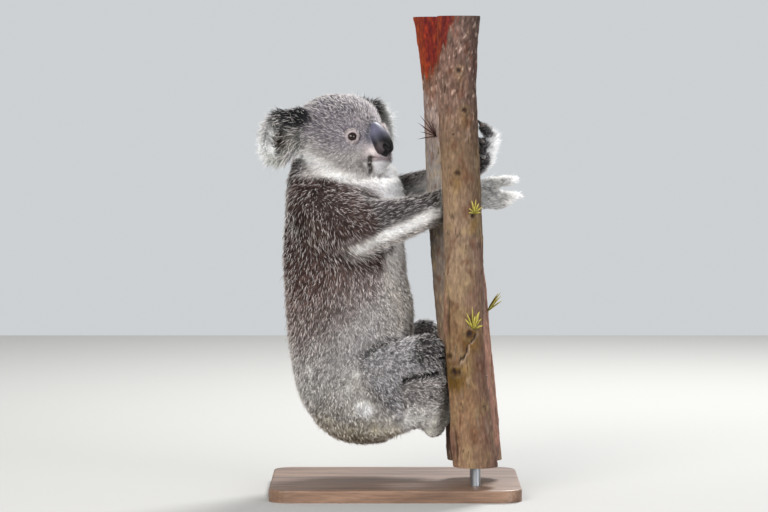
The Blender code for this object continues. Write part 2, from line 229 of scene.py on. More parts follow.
def joinTo(places, faces, morePlaces, moreFaces):  # adds one shape to the lists of a larger one
    start = len(places)
    places += list(morePlaces)
    faces += [tuple(i + start for i in face) for face in moreFaces]


def tubeFaces(rings, sides):  # four-sided faces between rings of corners that follow each other
    index = np.arange(rings * sides).reshape(rings, sides)
    after = np.roll(index, -1, axis=1)
    return np.stack([index[:-1], after[:-1], after[1:], index[1:]], -1).reshape(-1, 4)


def ballShape(subdivisions):
    ball = bmesh.new()
    bmesh.ops.create_icosphere(ball, subdivisions=subdivisions, radius=1.0)
    places = np.array([v.co for v in ball.verts])
    faces = np.array([[v.index for v in f.verts] for f in ball.faces])
    ball.free()
    return places, faces


# The head's own directions and its middle, from where the eyes are.
headMiddle = {"behindEyesMm": 65.5, "aboveEyesMm": 14.5}
eyeAt = {side: middle("eye_" + side) for side in "RL"}
headLeft = unit(eyeAt["L"] - eyeAt["R"])
headForward = unit(np.cross(headLeft, (0, 0, 1)))
headUp = np.cross(headForward, headLeft)
headAxes = np.stack([headForward, headLeft, headUp])
headCentre = (eyeAt["R"] + eyeAt["L"]) / 2 - headMiddle["behindEyesMm"] * mm * headForward
headCentre = headCentre + headMiddle["aboveEyesMm"] * mm * headUp
sides = {"R": -1, "L": 1}


def toHead(points):  # forward, left and up of the head's middle, in millimetres
    return (np.asarray(points) - headCentre) @ headAxes.T / mm


def fromHead(points):
    return np.asarray(points, float) @ headAxes * mm + headCentre


def weldedNode(node):
    source = frame["nodes"][node]
    mesh = bmesh.new()
    mesh.from_mesh(source.data)
    mesh.transform(source.matrix_world)
    bmesh.ops.remove_doubles(mesh, verts=mesh.verts, dist=0.02 * mm)
    mesh.normal_update()
    mesh.verts.index_update()
    return mesh


def nodeSurface(node):
    mesh = weldedNode(node)
    places = [v.co.copy() for v in mesh.verts]
    faces = [[v.index for v in f.verts] for f in mesh.faces]
    mesh.free()
    return places, faces


# Each claw is found in its hand or foot by its small tip, walked back ring by ring, and folded into its
# digit. The path that is kept for it has a middle and a radius for each ring, from root to tip.
def foldClaws(mesh, shortest=0.75 * mm, rings=3, widest=6 * mm):
    found = []
    tiny = {v for e in mesh.edges if e.calc_length() < shortest for v in e.verts}
    seen = set()
    for start in mesh.verts:
        if start not in tiny or start in seen:
            continue
        ring, stack = [], [start]
        while stack:
            v = stack.pop()
            if v in seen:
                continue
            seen.add(v)
            ring.append(v)
            stack += [e.other_vert(v) for e in v.link_edges if e.calc_length() < shortest]
        if len(ring) < 5:
            continue
        used, path, moved = set(ring), [], []
        while ring and len(path) <= rings:
            centre = sum((v.co for v in ring), Vector()) / len(ring)
            path.append((centre, max((v.co - centre).length for v in ring)))
            moved.append(ring)
            beyond = {e.other_vert(v) for v in ring for e in v.link_edges} - used
            used |= beyond
            ring = sorted(beyond, key=lambda v: v.index)  # the same order each run
        if len(path) > rings and path[-1][1] < widest:
            found.append(path[::-1])
            for v in [v for ring in moved[:-1] for v in ring]:
                v.co = path[-1][0]
    return found


footClawEndX = 0.130
fingerSleeve = {"fromX": 0.146, "backMm": 16, "radiiMm": [6.6, 7.4, 7.3, 6.8, 5.9, 4.6, 2.4], "sides": 12}


def sleeve(path):  # soft flesh that carries a held-out finger on to its claw's tip
    start, tip = np.array(path[0][0]), np.array(path[-1][0])
    ahead = unit(tip - start)
    start = start - ahead * fingerSleeve["backMm"] * mm
    across = unit(np.cross(ahead, (0, 0, 1)))
    top = np.cross(across, ahead)
    places = []
    radii, count = fingerSleeve["radiiMm"], fingerSleeve["sides"]
    for k, radius in enumerate(radii):
        centre = start + (tip - start) * k / (len(radii) - 1)
        for a in np.linspace(0, 2 * math.pi, count, endpoint=False):
            places.append(centre + radius * mm * (math.cos(a) * across + math.sin(a) * top))
    ends = [list(range(count)), list(range(len(places) - 1, len(places) - 1 - count, -1))]
    return [Vector(p) for p in places], tubeFaces(len(radii), count)[:, [0, 3, 2, 1]].tolist() + ends


print("koala: reading the frame")
claws = {}
fleshNodes = [name for name in frame["nodes"] if not name.startswith(("perch", "stand"))]
allPoints, allFaces, faceNode = [], [], []
for index, name in enumerate(fleshNodes):
    part = weldedNode(name)
    if name.startswith(("hand", "foot")):
        claws[name] = foldClaws(part)
        print("koala:", name, "claws", len(claws[name]))
    # grown a little, so that parts on both sides of a cut run together
    joinTo(allPoints, allFaces, [v.co + 0.4 * mm * v.normal for v in part.verts],
           [[v.index for v in f.verts] for f in part.faces])
    part.free()
    if name.startswith("foot"):  # the longest end just behind the stem, so that they don't show past it
        claws[name] = [path[:-1] if path[-1][0][0] > footClawEndX else path for path in claws[name]]
    if name == "hand_R":
        sleeved = [path for path in claws[name] if path[-1][0][0] > fingerSleeve["fromX"]]
        claws[name] = [path for path in claws[name] if path not in sleeved]
        for places, faces in map(sleeve, sleeved):
            joinTo(allPoints, allFaces, places, faces)
    faceNode += [index] * (len(allFaces) - len(faceNode))
faceNode = np.array(faceNode)
fleshTree = BVHTree.FromPolygons(allPoints, allFaces)

# Skin: one closed surface through all the flesh, smoothed, then drawn in by the coat's depth.
skin = {
    "voxelMm": 3.0,
    "faceRadiusMm": 64,  # finer mesh in here
    "eyeRadiusMm": 17,  # and again round the eyes
    "mouthRadiusMm": 30,  # and round nose and mouth
    "bodySmoothing": 22,
    "headSmoothing": 30,
}
lump = bpy.data.meshes.new("flesh")
lump.from_pydata(allPoints, [], allFaces)
lumpObject = bpy.data.objects.new("flesh", lump)
bpy.context.scene.collection.objects.link(lumpObject)
voxels = lumpObject.modifiers.new("voxels", "REMESH")
voxels.mode = "VOXEL"
voxels.voxel_size = skin["voxelMm"] * mm
voxels.adaptivity = 0
graph = bpy.context.evaluated_depsgraph_get()
remeshed = bpy.data.meshes.new_from_object(lumpObject.evaluated_get(graph))
bpy.data.objects.remove(lumpObject)
bpy.data.meshes.remove(lump)

surface = bmesh.new()
surface.from_mesh(remeshed)
faceSpots = [(fromHead((70, 0, -22)), skin["faceRadiusMm"])]
fineSpots = [(eyeAt["R"], skin["eyeRadiusMm"]), (eyeAt["L"], skin["eyeRadiusMm"]),
             (fromHead((96, 0, -42)), skin["mouthRadiusMm"])]


def within(edge, spots):
    half = (edge.verts[0].co + edge.verts[1].co) / 2
    return any((half - Vector(centre)).length < radius * mm for centre, radius in spots)


for spots in (faceSpots, fineSpots):
    inside = [e for e in surface.edges if within(e, spots)]
    bmesh.ops.subdivide_edges(surface, edges=inside, cuts=1, use_grid_fill=True)
bmesh.ops.triangulate(surface, faces=[f for f in surface.faces if len(f.verts) > 4])
surface.verts.index_update()
points = np.array([v.co for v in surface.verts])
edges = np.array([[v.index for v in e.verts] for e in surface.edges])
skinFaces = [[v.index for v in f.verts] for f in surface.faces]
surface.free()
print("koala: skin vertices", len(points))
edgeA, edgeB = edges.T
neighbours = np.bincount(edgeA, minlength=len(points)) + np.bincount(edgeB, minlength=len(points))


def averaged(field):
    flat = field.reshape(len(field), -1)
    total = [
        np.bincount(edgeA, flat[edgeB, k], len(flat)) + np.bincount(edgeB, flat[edgeA, k], len(flat))
        for k in range(flat.shape[1])
    ]
    return (np.stack(total, 1) / neighbours[:, None]).reshape(field.shape)


def spread(field, times):
    for _ in range(times):
        field = 0.35 * field + 0.65 * averaged(field)
    return field


def smoothed(points, weight, times):
    for _ in range(times):
        points = points + 0.5 * weight[:, None] * (averaged(points) - points)
        points = points - 0.52 * weight[:, None] * (averaged(points) - points)
    return points


triangles = []
for face in skinFaces:
    triangles.append(face[:3])
    if len(face) == 4:
        triangles.append([face[0], face[2], face[3]])
triangles = np.array(triangles)


def vertexNormals(points):
    a, b, c = (points[triangles[:, k]] for k in range(3))
    crossed = np.cross(b - a, c - a)
    total = np.zeros_like(points)
    for k in range(3):
        for axis in range(3):
            total[:, axis] += np.bincount(triangles[:, k], crossed[:, axis], len(points))
    return unit(total)


def softNormalsOf(points):
    return vertexNormals(spread(points, 4))


nearest = [fleshTree.find_nearest(Vector(p))[2] for p in points]
vertexNode = faceNode[np.array(nearest)]


def byNode(table, default):  # one value for each skin vertex, from the first name that its node starts with
    values = []
    for name in fleshNodes:
        match = [table[key] for key in table if name.startswith(key)]
        values.append(match[0] if match else default)
    return np.array(values, float)[vertexNode]


isHead = byNode({"head": 1, "eye": 1, "nose": 1}, 0)
isHand = byNode({"hand": 1, "foot": 1}, 0)
isEar = {side: byNode({"ear_" + side: 1}, 0) for side in sides}
points = smoothed(points, 1 - 0.75 * spread(isHand, 3), skin["bodySmoothing"])
points = smoothed(points, spread(isHead, 4), skin["headSmoothing"])
outline = points.copy()  # where the coat's tips lie

# Coat by part: how deep the skin lies and hair length in millimetres, lift in degrees, hairs per square
# centimetre, and half a hair's width in millimetres.
coat = {
    "torso": (6.8, 10.8, 40, 62, 0.37),
    "neck": (6.8, 12, 38, 62, 0.37),
    "head": (4.6, 8, 34, 95, 0.34),
    "nose": (3.0, 0, 0, 0, 0.3),
    "eye": (1.2, 0, 0, 0, 0.3),
    "ear": (7.0, 12, 24, 92, 0.32),
    "upper_arm": (6.4, 10.2, 38, 70, 0.35),
    "forearm": (5.4, 9.5, 36, 76, 0.34),
    "hand": (1.8, 4.4, 12, 150, 0.26),
    "thigh": (5.8, 9, 42, 76, 0.35),
    "shin": (5.0, 8.5, 40, 80, 0.34),
    "foot": (2.2, 4.5, 18, 95, 0.34),
}
coatFields = np.stack([byNode({k: v[i] for k, v in coat.items()}, 0) for i in range(5)], 1)
depth = spread(coatFields[:, 0], 10)
headPlace = toHead(points)
fromNose = np.linalg.norm(headPlace - (96, 0, -28), axis=1)
headOnly = spread(isHead, 3)


def overFace(field, distances, values):  # the head takes its values by how far the nose is, in millimetres
    return blend(field, np.interp(fromNose, distances, values), headOnly)


depth = overFace(depth, [10, 25, 40, 60, 90, 130], [1.4, 1.6, 2.6, 4.0, 5.6, 7])
isNose = byNode({"nose": 1}, 0)
depth = np.where(isNose > 0, 3.0, depth)

# Ears: the skin is a thin dished plate, well inside the long fringe.
earShape = {
    "rootMm": (-2, 66, -2),  # forward, sideways and up of the head's middle
    "halfMm": (40, 38),  # across and up
    "dishHalfMm": (34, 34),
    "dishMm": 9,
    "rimDepthMm": 3.5,  # how much deeper the skin lies towards the rim
}
earCentre = {side: toHead(middle("ear_" + side)) for side in sides}


def earReach(side, spots, half=earShape["halfMm"]):  # 0 in the ear's middle, 1 at its edge
    rel = spots - earCentre[side]
    return np.hypot(rel[:, 1] / half[0], rel[:, 2] / half[1])


def earPlace(side, spots):  # how far out and up from the ear's middle, 1 at its edge
    rel = spots - earCentre[side]
    return sides[side] * rel[:, 1] / earShape["halfMm"][0], rel[:, 2] / earShape["halfMm"][1]


for side in sides:
    earOut, earUp = earPlace(side, headPlace)
    rim = ease(earReach(side, headPlace), 0.45, 1.0) * ease(earOut - 0.5 * earUp, -0.5, 0.6)
    depth = depth + spread(isEar[side], 2) * rim * earShape["rimDepthMm"]
normals = vertexNormals(spread(points, 3))
points = points - depth[:, None] * mm * normals
for side in sides:
    frontOf = ease(normals @ headForward, 0.05, 0.6)
    dish = np.clip(1 - earReach(side, toHead(points), earShape["dishHalfMm"]) ** 2, 0, 1)
    points = points - (isEar[side] * frontOf * dish * earShape["dishMm"] * mm)[:, None] * headForward
points = smoothed(points, np.ones(len(points)), 4)

# Face: lids, mouth and jowls.
face = {
    "eyeRadiusMm": 9.5,
    "eyeAxis": (0.74, 0.67, 0.06),  # forward, sideways, up
    "openWideDeg": 35,
    "openHighDeg": 31,
    "lidRiseMm": 1.5,
    # degrees past the lid's edge, and how far the skin stands off the ball there
    "lidProfile": [(-60, -3), (-5, -2.5), (-1, -0.6), (3, 0.7), (9, 1.5), (20, 1.2), (34, 0.8)],
    "lidCreaseMm": 0.5,
    "socketSmoothing": 25,
    "mouthWidthMm": 1.5,
    "mouthDeepMm": 2.6,
    "jowlWidthMm": 3.6,
    "jowlDeepMm": 2.0,
    "mouthLine": [(104, 0, -50), (101, 9, -48), (97, 16, -46), (91, 23, -45), (88, 25, -49)],
    "ruffLine": [(-6, 68, -34), (9, 67, -41), (37, 60, -56), (60, 48, -68), (72, 33, -73), (82, 12, -78)],
    "jowlLine": [(91, 23, -45), (88, 21, -53), (85, 15, -63), (82, 10, -70)],
}


def mirrored(line, sign):
    return [(forward, sign * left, up) for forward, left, up in line]


def onBothSides(spots, line, width):
    return np.maximum(lineWeight(spots, mirrored(line, -1), width), lineWeight(spots, line, width))


def eyeDirections(sign):  # straight out of the eye, across it and up it
    axis = unit(np.array(face["eyeAxis"]) * (1, sign, 1))
    across = unit(np.cross((0, 0, 1), axis))
    return axis, across, np.cross(axis, across)


headPlace = toHead(points)
eyeAngle = {}
for side, sign in sides.items():
    centre = toHead(eyeAt[side])
    axis, across, upward = eyeDirections(sign)
    rel = headPlace - centre
    radius = np.linalg.norm(rel, axis=1)
    direction = rel / np.maximum(radius, 1e-6)[:, None]
    angle = np.degrees(np.arccos(np.clip(direction @ axis, -1, 1)))
    turn = np.arctan2(direction @ upward, direction @ across)
    narrow = (np.cos(turn) / face["openWideDeg"]) ** 2 + (np.sin(turn) / face["openHighDeg"]) ** 2
    opening = 1 / np.sqrt(narrow)
    beyond = angle - opening  # degrees past the lid's edge
    ball = face["eyeRadiusMm"]
    degrees, rises = zip(*face["lidProfile"])
    target = np.interp(beyond, degrees, [ball + rise for rise in rises])
    hold = (1 - ease(beyond, 16, 44)) * (1 - ease(radius, 14, 18))
    # a fine crease above and below the lid
    crease = face["lidCreaseMm"] * np.exp(-((beyond - 19) / 4) ** 2) * np.abs(np.sin(turn))
    headPlace = headPlace + (direction * ((target - crease - radius) * hold)[:, None])
    eyeAngle[side] = beyond + 90 * ease(radius, 13, 17)
    # the face is drawn smooth where it meets the lid's rim
    socket = ease(radius, 12, 14) * (1 - ease(radius, 19, 25)) * (isHead > 0)
    for _ in range(face["socketSmoothing"]):
        headPlace = headPlace + 0.6 * socket[:, None] * (averaged(headPlace) - headPlace)
    # past the lid's edge the ball stays covered
    rel = headPlace - centre
    radius = np.linalg.norm(rel, axis=1)
    cover = np.clip(ball + face["lidRiseMm"] - radius, 0, None) * ease(beyond, 3, 9) * (radius < 24)
    headPlace = headPlace + rel / np.maximum(radius, 1e-6)[:, None] * cover[:, None]
mouth = onBothSides(headPlace, face["mouthLine"], face["mouthWidthMm"])
jowl = onBothSides(headPlace, face["jowlLine"], face["jowlWidthMm"])
normals = vertexNormals(fromHead(headPlace))
creases = face["mouthDeepMm"] * mouth + face["jowlDeepMm"] * jowl
points = fromHead(headPlace) - normals * (creases * mm * isHead)[:, None]
points = smoothed(points, isHead * 0.7, 2)

# the folds below are pressed in, and their darkness is painted shade
legFolds = {  # line over the left leg, mirrored for the right one, then width, depth and darkness
    "kneeFold": ([(14, 116, 168), (42, 110, 175), (70, 102, 181)], 6.5, 9, 1.0),
    "calf": ([(14, 116, 168), (9, 114, 150), (14, 109, 134), (28, 98, 120)], 6, 4, 0.4),
    "hip": ([(-46, 103, 207), (-26, 97, 221), (-8, 86, 229), (8, 76, 233)], 5, 4, 0.6),
}
foldShade = np.zeros(len(points))
for line, width, deep, darkness in legFolds.values():
    weight = onBothSides(outline / mm, line, width)
    foldShade = np.maximum(foldShade, weight * darkness)
    points = points - (deep * mm * weight)[:, None] * softNormalsOf(points)
normals = vertexNormals(points)
softNormals = vertexNormals(spread(points, 4))
print("koala: skin shaped")

# Markings, with painted light and shade: one colour for each skin vertex, which skin and coat share.
worldMm = points / mm
headPlace = toHead(points)
hide = {
    "head": "#88828a",
    "torso": "#52443f",
    "neck": "#4c403b",
    "upper_arm": "#5c4a45",
    "forearm": "#625c5a",
    "hand": "#8f8e8a",
    "thigh": "#999798",
    "shin": "#938d8a",
    "foot": "#a09a90",
    "ear": "#8f918d",
    "eye": "#8d7873",
    "nose": "#4b4a52",
}
marksAndPaintedLight = np.stack([byNode({k: linear(v)[i] for k, v in hide.items()}, 0.2) for i in range(3)], 1)
marksAndPaintedLight = spread(marksAndPaintedLight, 6)


def paint(colour, weight):  # one colour, or one for each vertex
    global marksAndPaintedLight
    colour = linear(colour) if isinstance(colour, str) else colour
    marksAndPaintedLight = blend(marksAndPaintedLight, colour, np.clip(weight, 0, 1)[:, None])


isTrunk = spread(byNode({"torso": 1, "neck": 1}, 0), 8)
isArm = spread(byNode({"upper_arm": 1}, 0), 8)
isForearm = spread(byNode({"forearm": 1}, 0), 6)
isLeg = spread(byNode({"thigh": 1, "shin": 1}, 0), 6)
isShin = spread(byNode({"shin": 1}, 0), 6)
isPaw = spread(isHand, 3)
onHead = spread(isHead, 2)
onEar = {side: spread(isEar[side], 2) for side in sides}
x, y, z = worldMm.T
forward, left, up = headPlace.T
isBody = 1 - spread(np.clip(isHead + isEar["R"] + isEar["L"], 0, 1), 3)
facing = softNormals  # which way each spot looks
patchy = cloud(points, 22 * mm, 3.1, 2)

# Trunk: colours by height up the back and up the belly, painted shade along the edge high on the back, a
# white chest.
backStops = [
    (62, "#5b4b2b"), (76, "#8f7f58"), (94, "#d8d0bb"), (118, "#beb9b1"), (165, "#b7b4b2"), (215, "#b0aba9"),
    (262, "#92847f"), (320, "#78615b"), (370, "#68524d"), (420, "#544340"), (455, "#544340"),
]
backHeight = z + 0.8 * (-x - 100) * ease(z, 120, 190)
paint(colourAt(backStops, backHeight + 12 * patchy), isTrunk)
bellyStops = [(80, "#8c8068"), (130, "#a59b8c"), (240, "#b3aaa0"), (340, "#c8c2bb"), (400, "#eceae8")]
frontWeight = ease(facing[:, 0] - 0.35 * np.abs(facing[:, 1]), 0.15, 0.6)
paint(colourAt(bellyStops, z), isTrunk * frontWeight * ease(x, -60, -20))
# painted shade along the back's far edge high up, where it turns away from the light
backEdgeShade = isTrunk * ease(-x, 92, 132) * ease(z, 270, 350)
paint("#1c110e", backEdgeShade * 0.3)
chest = ease(z, 392, 425) * ease(x, -75, -45) * (1 - ease(np.abs(y), 44, 66))
paint("#fffefd", chest * isBody)
paint("#5a4c48", isArm * ease(z, 375, 430) * (1 - chest) * 0.7)

# Arms: a white band along the underside. Legs: painted shade over the knee, pale at the heel. Rump: pale
# patches.
under = ease(-facing[:, 2], 0.1, 0.7)
underside = ease(-facing[:, 2], 0.28, 0.62)
notArmpit = ease(x + 6 * patchy, -88, -48)
paint("#a8a098", np.maximum(isForearm, isArm) * underside * notArmpit)
armLine = [(-60, -133, 356), (-43, -136, 363), (-15, -127, 375), (14, -113, 387), (42, -99, 400),
           (66, -74, 413)]
armBand = lineWeight(outline / mm, armLine, 9)
armBand = np.maximum(armBand, byNode({"forearm_L": 1}, 0) * underside)
paint("#fbf8f2", armBand * 1.5 * notArmpit)
# painted shade over the knee, stronger on the near leg
paint("#2b2625", isLeg * ease(z, 180, 204) * ease(x, 12, 38) * np.where(y < 0, 0.85, 0.4))
heel = np.maximum(isShin, isPaw * (z < 200)) * (1 - ease(z, 112, 150))
paint("#eeece4", heel * (1 - ease(x, 62, 84)) * 0.55)
paint("#6b5a38", isBody * (1 - ease(z, 60, 82)) * (1 - isPaw) * 0.9)
rumpPatches = [  # on both sides: where, radius and strength
    ((-44, 108, 131), 8.5, 4), ((-70, 98, 118), 6, 1), ((-63, 102, 157), 4.5, 1.2), ((-55, 106, 183), 5, 0.9),
    ((-122, 66, 184), 5, 1), ((-24, 110, 108), 11, 0.8), ((4, 104, 98), 14, 1.1),
]
for sign in (-1, 1):
    for spot, radius, strength in rumpPatches:
        gap = np.linalg.norm(worldMm - mirrored([spot], sign)[0], axis=1) + 3 * patchy
        paint("#fffefc", np.exp(-(gap / radius) ** 2) * strength)
# painted shade in the leg's folds
paint("#141212", foldShade * 1.15)

# Hands: the far one in painted shade, with a painted highlight along its rim, the near one pale.
farHand = byNode({"hand_L": 1}, 0)
# painted shade over the far hand
paint("#2b2727", farHand * 0.95)
# painted highlight: a white rim where the far hand looks along X
handRimLight = farHand * ease(facing[:, 0], 0.62, 0.9)
paint("#f0efec", handRimLight)
nearHand = byNode({"hand_R": 1}, 0)
paint("#9f9e98", nearHand * 0.8)
paint("#f4f2ee", nearHand * np.maximum(ease(x, 154, 170), 0.7 * ease(facing[:, 2], 0.5, 0.9)))

# Head: darker crown and nape, pale cheek, muzzle and eye rings, white ruff and chin.
crown = ease(up, 5, 50)
paint("#4b4850", onHead * crown * 0.9)
lowCheek = (1 - ease(up, -48, -14)) * (1 - ease(forward, 72, 95)) * ease(forward, -14, 10)
paint("#b9b4b1", onHead * lowCheek * 0.9)
paint("#cbc8c6", onHead * np.exp(-((forward - 18) / 18) ** 2 - ((up + 27) / 11) ** 2) * 0.8)
nape = ease(-forward, 4, 22) * ease(-up, 22, 40) * ease(z, 425, 455)
paint("#3f3532", np.maximum(onHead, isTrunk) * nape * 0.85)
padEdge = np.linalg.norm((headPlace - (90, 0, -18)) / (20, 21, 27), axis=1)
paint("#55555f", onHead * (1 - ease(padEdge, 0.86, 1.12)) * ease(up, -44, -36))
paint("#b7aeb0", onHead * np.exp(-((forward - 74) / 14) ** 2 - ((up - 12) / 13) ** 2) * 0.5)
front = ease(facing @ headForward, -0.1, 0.4)
earDark = {}
for side, sign in sides.items():
    ruffWeight = lineWeight(headPlace, mirrored(face["ruffLine"], sign), 8.5)
    paint("#fffefb", ruffWeight * 2.4)
    spot = np.linalg.norm((headPlace - (93, sign * 20, -37)) / (1, 1, 0.8), axis=1)
    paint("#cabfbc", onHead * np.exp(-(spot / 12) ** 2) * 0.9)
    spot = np.linalg.norm(headPlace - (103, sign * 13, -40), axis=1)
    paint("#9a7471", onHead * np.exp(-(spot / 4.5) ** 2) * 0.8)
    paint("#b8acad", onHead * (1 - ease(eyeAngle[side], 22, 58)) * 0.9)
    paint("#2c2322", onHead * (1 - ease(eyeAngle[side], 2.5, 7.5)) * 0.95)
    # ear: grey behind, painted shade in the hollow in front, black above and near the head, a white rim
    ear, out = onEar[side], sign * left
    paint("#8d8688", ear * (1 - front))
    paint("#868683", ear * front)
    paint("#979891", ear * ease(-up, 14, 34) * ease(out, 84, 104))
    paint("#9d988f", ear * front * np.exp(-((out - 90) / 12) ** 2 - ((up + 17) / 9) ** 2) * 1.1)
    # painted shade in the ear's hollow
    hollow = np.hypot((out - 100) / 12, (up + 13) / 10)
    paint("#33291f", ear * front * np.exp(-hollow ** 2) * 1.3)
    paint("#e2e5e4", ear * ease(out - 0.1 * up, 108, 127) * ease(earReach(side, headPlace), 0.35, 0.8))
    dark = ease(up + 0.15 * (out - 90) + 5 * patchy, -12, 7)
    dark = dark * (1 - ease(out - 0.3 * up + 6 * patchy, 86, 122))
    dark = dark * ease(out + 5 * patchy, 44, 60) * (1 - ease(forward + 4 * patchy, 24, 36))
    earDark[side] = np.clip(ear + onHead * ease(out, 48, 58), 0, 1) * dark
    paint("#19191d", earDark[side] * 0.97)
chin = (1 - ease(up, -53, -49)) * ease(forward, 76, 84)
paint("#fffcfa", onHead * chin)
lips = sum(lineWeight(headPlace, mirrored(face["mouthLine"][:4], sign), 3) for sign in (-1, 1))
paint("#b39794", onHead * np.clip(lips, 0, 1) * 0.8)
# painted shade in the jowl's fold, between the chin pouch and the cheek
paint("#2a241e", onHead * np.clip(1.7 * jowl, 0, 1) * 0.95)
paint("#2a1f1e", onHead * mouth * 0.95)
# painted shade: the skin under the pad is near black, so that what shows at the bottom of the nostrils reads
# as their shaded depth
paint("#0c0a0b", isNose)  # what shows at the bottom of the nostrils
marksAndPaintedLight *= (1 + 0.10 * cloud(points, 9 * mm, 8.8, 2))[:, None]
marksAndPaintedLight = np.clip(marksAndPaintedLight, 0.01, 0.95)

# How the coat lies: down the body and along each limb, away from the nose, and outward on the ears.
down = np.array([0, 0, -1])
wayOf = {}
for side in sides:
    chain = [("upper_arm_", "forearm_"), ("forearm_", "hand_"), ("thigh_", "shin_"), ("shin_", "foot_")]
    for start, end in chain:
        wayOf[start + side] = middle(end + side) - middle(start + side)
    wayOf["hand_" + side] = wayOf["forearm_" + side]
    wayOf["foot_" + side] = (1, 0, 0.2)
lie = np.zeros_like(points)
for i in range(3):
    lie[:, i] = byNode({k: unit(v)[i] for k, v in wayOf.items()}, (0.12, 0, -1)[i])
lie = lie + isArm[:, None] * 0.9 * down
lie = unit(spread(lie, 12))
awayFromNose = unit(points - fromHead((99, 0, -30)))
awayFromNose = unit(awayFromNose + 0.35 * down * ease(-up, 10, 60)[:, None])
lie = blend(lie, awayFromNose, headOnly[:, None])
for side, sign in sides.items():
    lowShare = ease(-up, -5, 30)[:, None]
    outward = unit(headPlace - mirrored([earShape["rootMm"]], sign)[0]) * (0.4 + 0.6 * lowShare)
    outward = unit((outward + (0, 0.8 * sign, 0)) @ headAxes + 0.25 * down * lowShare)
    lie = blend(lie, outward, spread(isEar[side], 3)[:, None])
    fromEye = points - eyeAt[side]
    pull = np.exp(-(np.linalg.norm(fromEye, axis=1) / (15 * mm)) ** 2)[:, None]
    lie = lie + 1.2 * pull * unit(fromEye)
armUnder = np.maximum(isForearm, isArm) * under
lie = lie + armUnder[:, None] * np.array([0.1, 0, -0.25])
lie = unit(lie - (lie * softNormals).sum(1)[:, None] * softNormals)

# How long and how close the coat grows, in the units of the table above.
length, lift, density, halfWidth = (spread(coatFields[:, i], 4) for i in (1, 2, 3, 4))
length = overFace(length, [8, 20, 40, 60, 90, 130], [1.6, 2.3, 3.4, 4.8, 6.4, 9])
density = overFace(density, [8, 25, 50, 80, 130], [230, 200, 160, 125, 85])
halfWidth = overFace(halfWidth, [8, 25, 50, 90], [0.18, 0.22, 0.28, 0.35])
lift = lift + headOnly * np.interp(fromNose, [20, 60, 100], [-8, 0, 8])
pale = 0.11 + 0.14 * onHead * crown  # share of hairs with pale ends
for side in sides:
    earOut, earUp = earPlace(side, toHead(outline))
    fringe = onEar[side] * ease(earReach(side, toHead(outline)), 0.4, 0.95)
    lowFringe = fringe * ease(0.5 - earUp + 0.6 * earOut, 0, 0.8)
    length = length + 2 * fringe + 5 * lowFringe
    lift = lift + 8 * fringe
    pale = (pale + 0.1 * fringe) * (1 - 0.7 * earDark[side])
ruff = onBothSides(headPlace, face["ruffLine"], 12)
length = length + 6 * ruff + 5 * chest + 2 * armUnder
lift = lift + 8 * ruff + 16 * chest
length = length + 3 * handRimLight - 2.4 * farHand * (1 - handRimLight)
lift = lift + 40 * handRimLight
woolly = np.maximum(isTrunk * (1 - ease(backHeight, 200, 285)), isLeg)
length = length * (1 - 0.15 * woolly)
pale = pale - 0.02 * isBody * (1 + backEdgeShade) + 0.05 * woolly
clumping = 0.15 + 0.15 * isBody + 0.15 * woolly  # how far tips are drawn together
length = length * (1 - 0.6 * foldShade)
density = density * (1 - 0.6 * foldShade)
bare = np.maximum(isNose, np.clip(1.6 * mouth + 0.7 * jowl, 0, 1))
for side in sides:
    bare = np.maximum(bare, 1 - ease(eyeAngle[side], 14, 24))
density = density * (1 - ease(bare, 0.3, 0.8))
thinFace = onHead * (1 - ease(fromNose, 30, 55))
stemPoints, stemFaces = [], []
for name in ("perch_stem_front", "perch_stem_rear"):
    joinTo(stemPoints, stemFaces, *nodeSurface(name))
stemTree = BVHTree.FromPolygons(stemPoints, stemFaces)


def stemGap(place):  # distance to the bark, below 0 inside it, and the way out
    hit, normal, _, distance = stemTree.find_nearest(Vector(place))
    inside = (Vector(place) - hit).dot(normal) < 0
    return (-distance if inside else distance), normal


def nearStems(places, reach=6 * mm):
    low, high = np.min(stemPoints, axis=0) - reach, np.max(stemPoints, axis=0) + reach
    return np.where(np.all((places > low) & (places < high), axis=1))[0]


touching = np.zeros(len(points))
for i in nearStems(points):
    touching[i] = 1 - ease(stemGap(points[i])[0], 1.5 * mm, 4 * mm)
density = density * (1 - touching)

skinMesh = bpy.data.meshes.new("skin")
skinMesh.from_pydata(points.tolist(), [], skinFaces)
paleMarks = np.clip(marksAndPaintedLight.mean(1) / 0.6, 0, 1)
# painted shade: the skin is darker under dark hair, so that the gaps between the hairs look shaded; less so
# under pale hair, and hardly at all on the hands and the bare face
gapShade = np.maximum(0.26 + 0.62 * paleMarks, 0.9 * np.maximum(isHand, thinFace))
colourPoints(skinMesh, "hideColour", marksAndPaintedLight * gapShade[:, None])
# Tanned koala hide under the hair: matt, with a fine nap. The bump stands for the undercoat,
# whose 0.1 mm hairs are drawn 1.5 mm apart so that they show.
hideMaterial = texturedMaterial("tannedHide", {"Roughness": 0.85, "Specular IOR Level": 0.25}, "hideColour", {
    "grainMm": 1.54, "detail": 4.0, "shades": (0.55, 1.15), "relief": (0.5, 0.8)})
addPiece("skin", skinMesh, hideMaterial, [n for n in fleshNodes if not n.startswith(("eye", "nose"))])

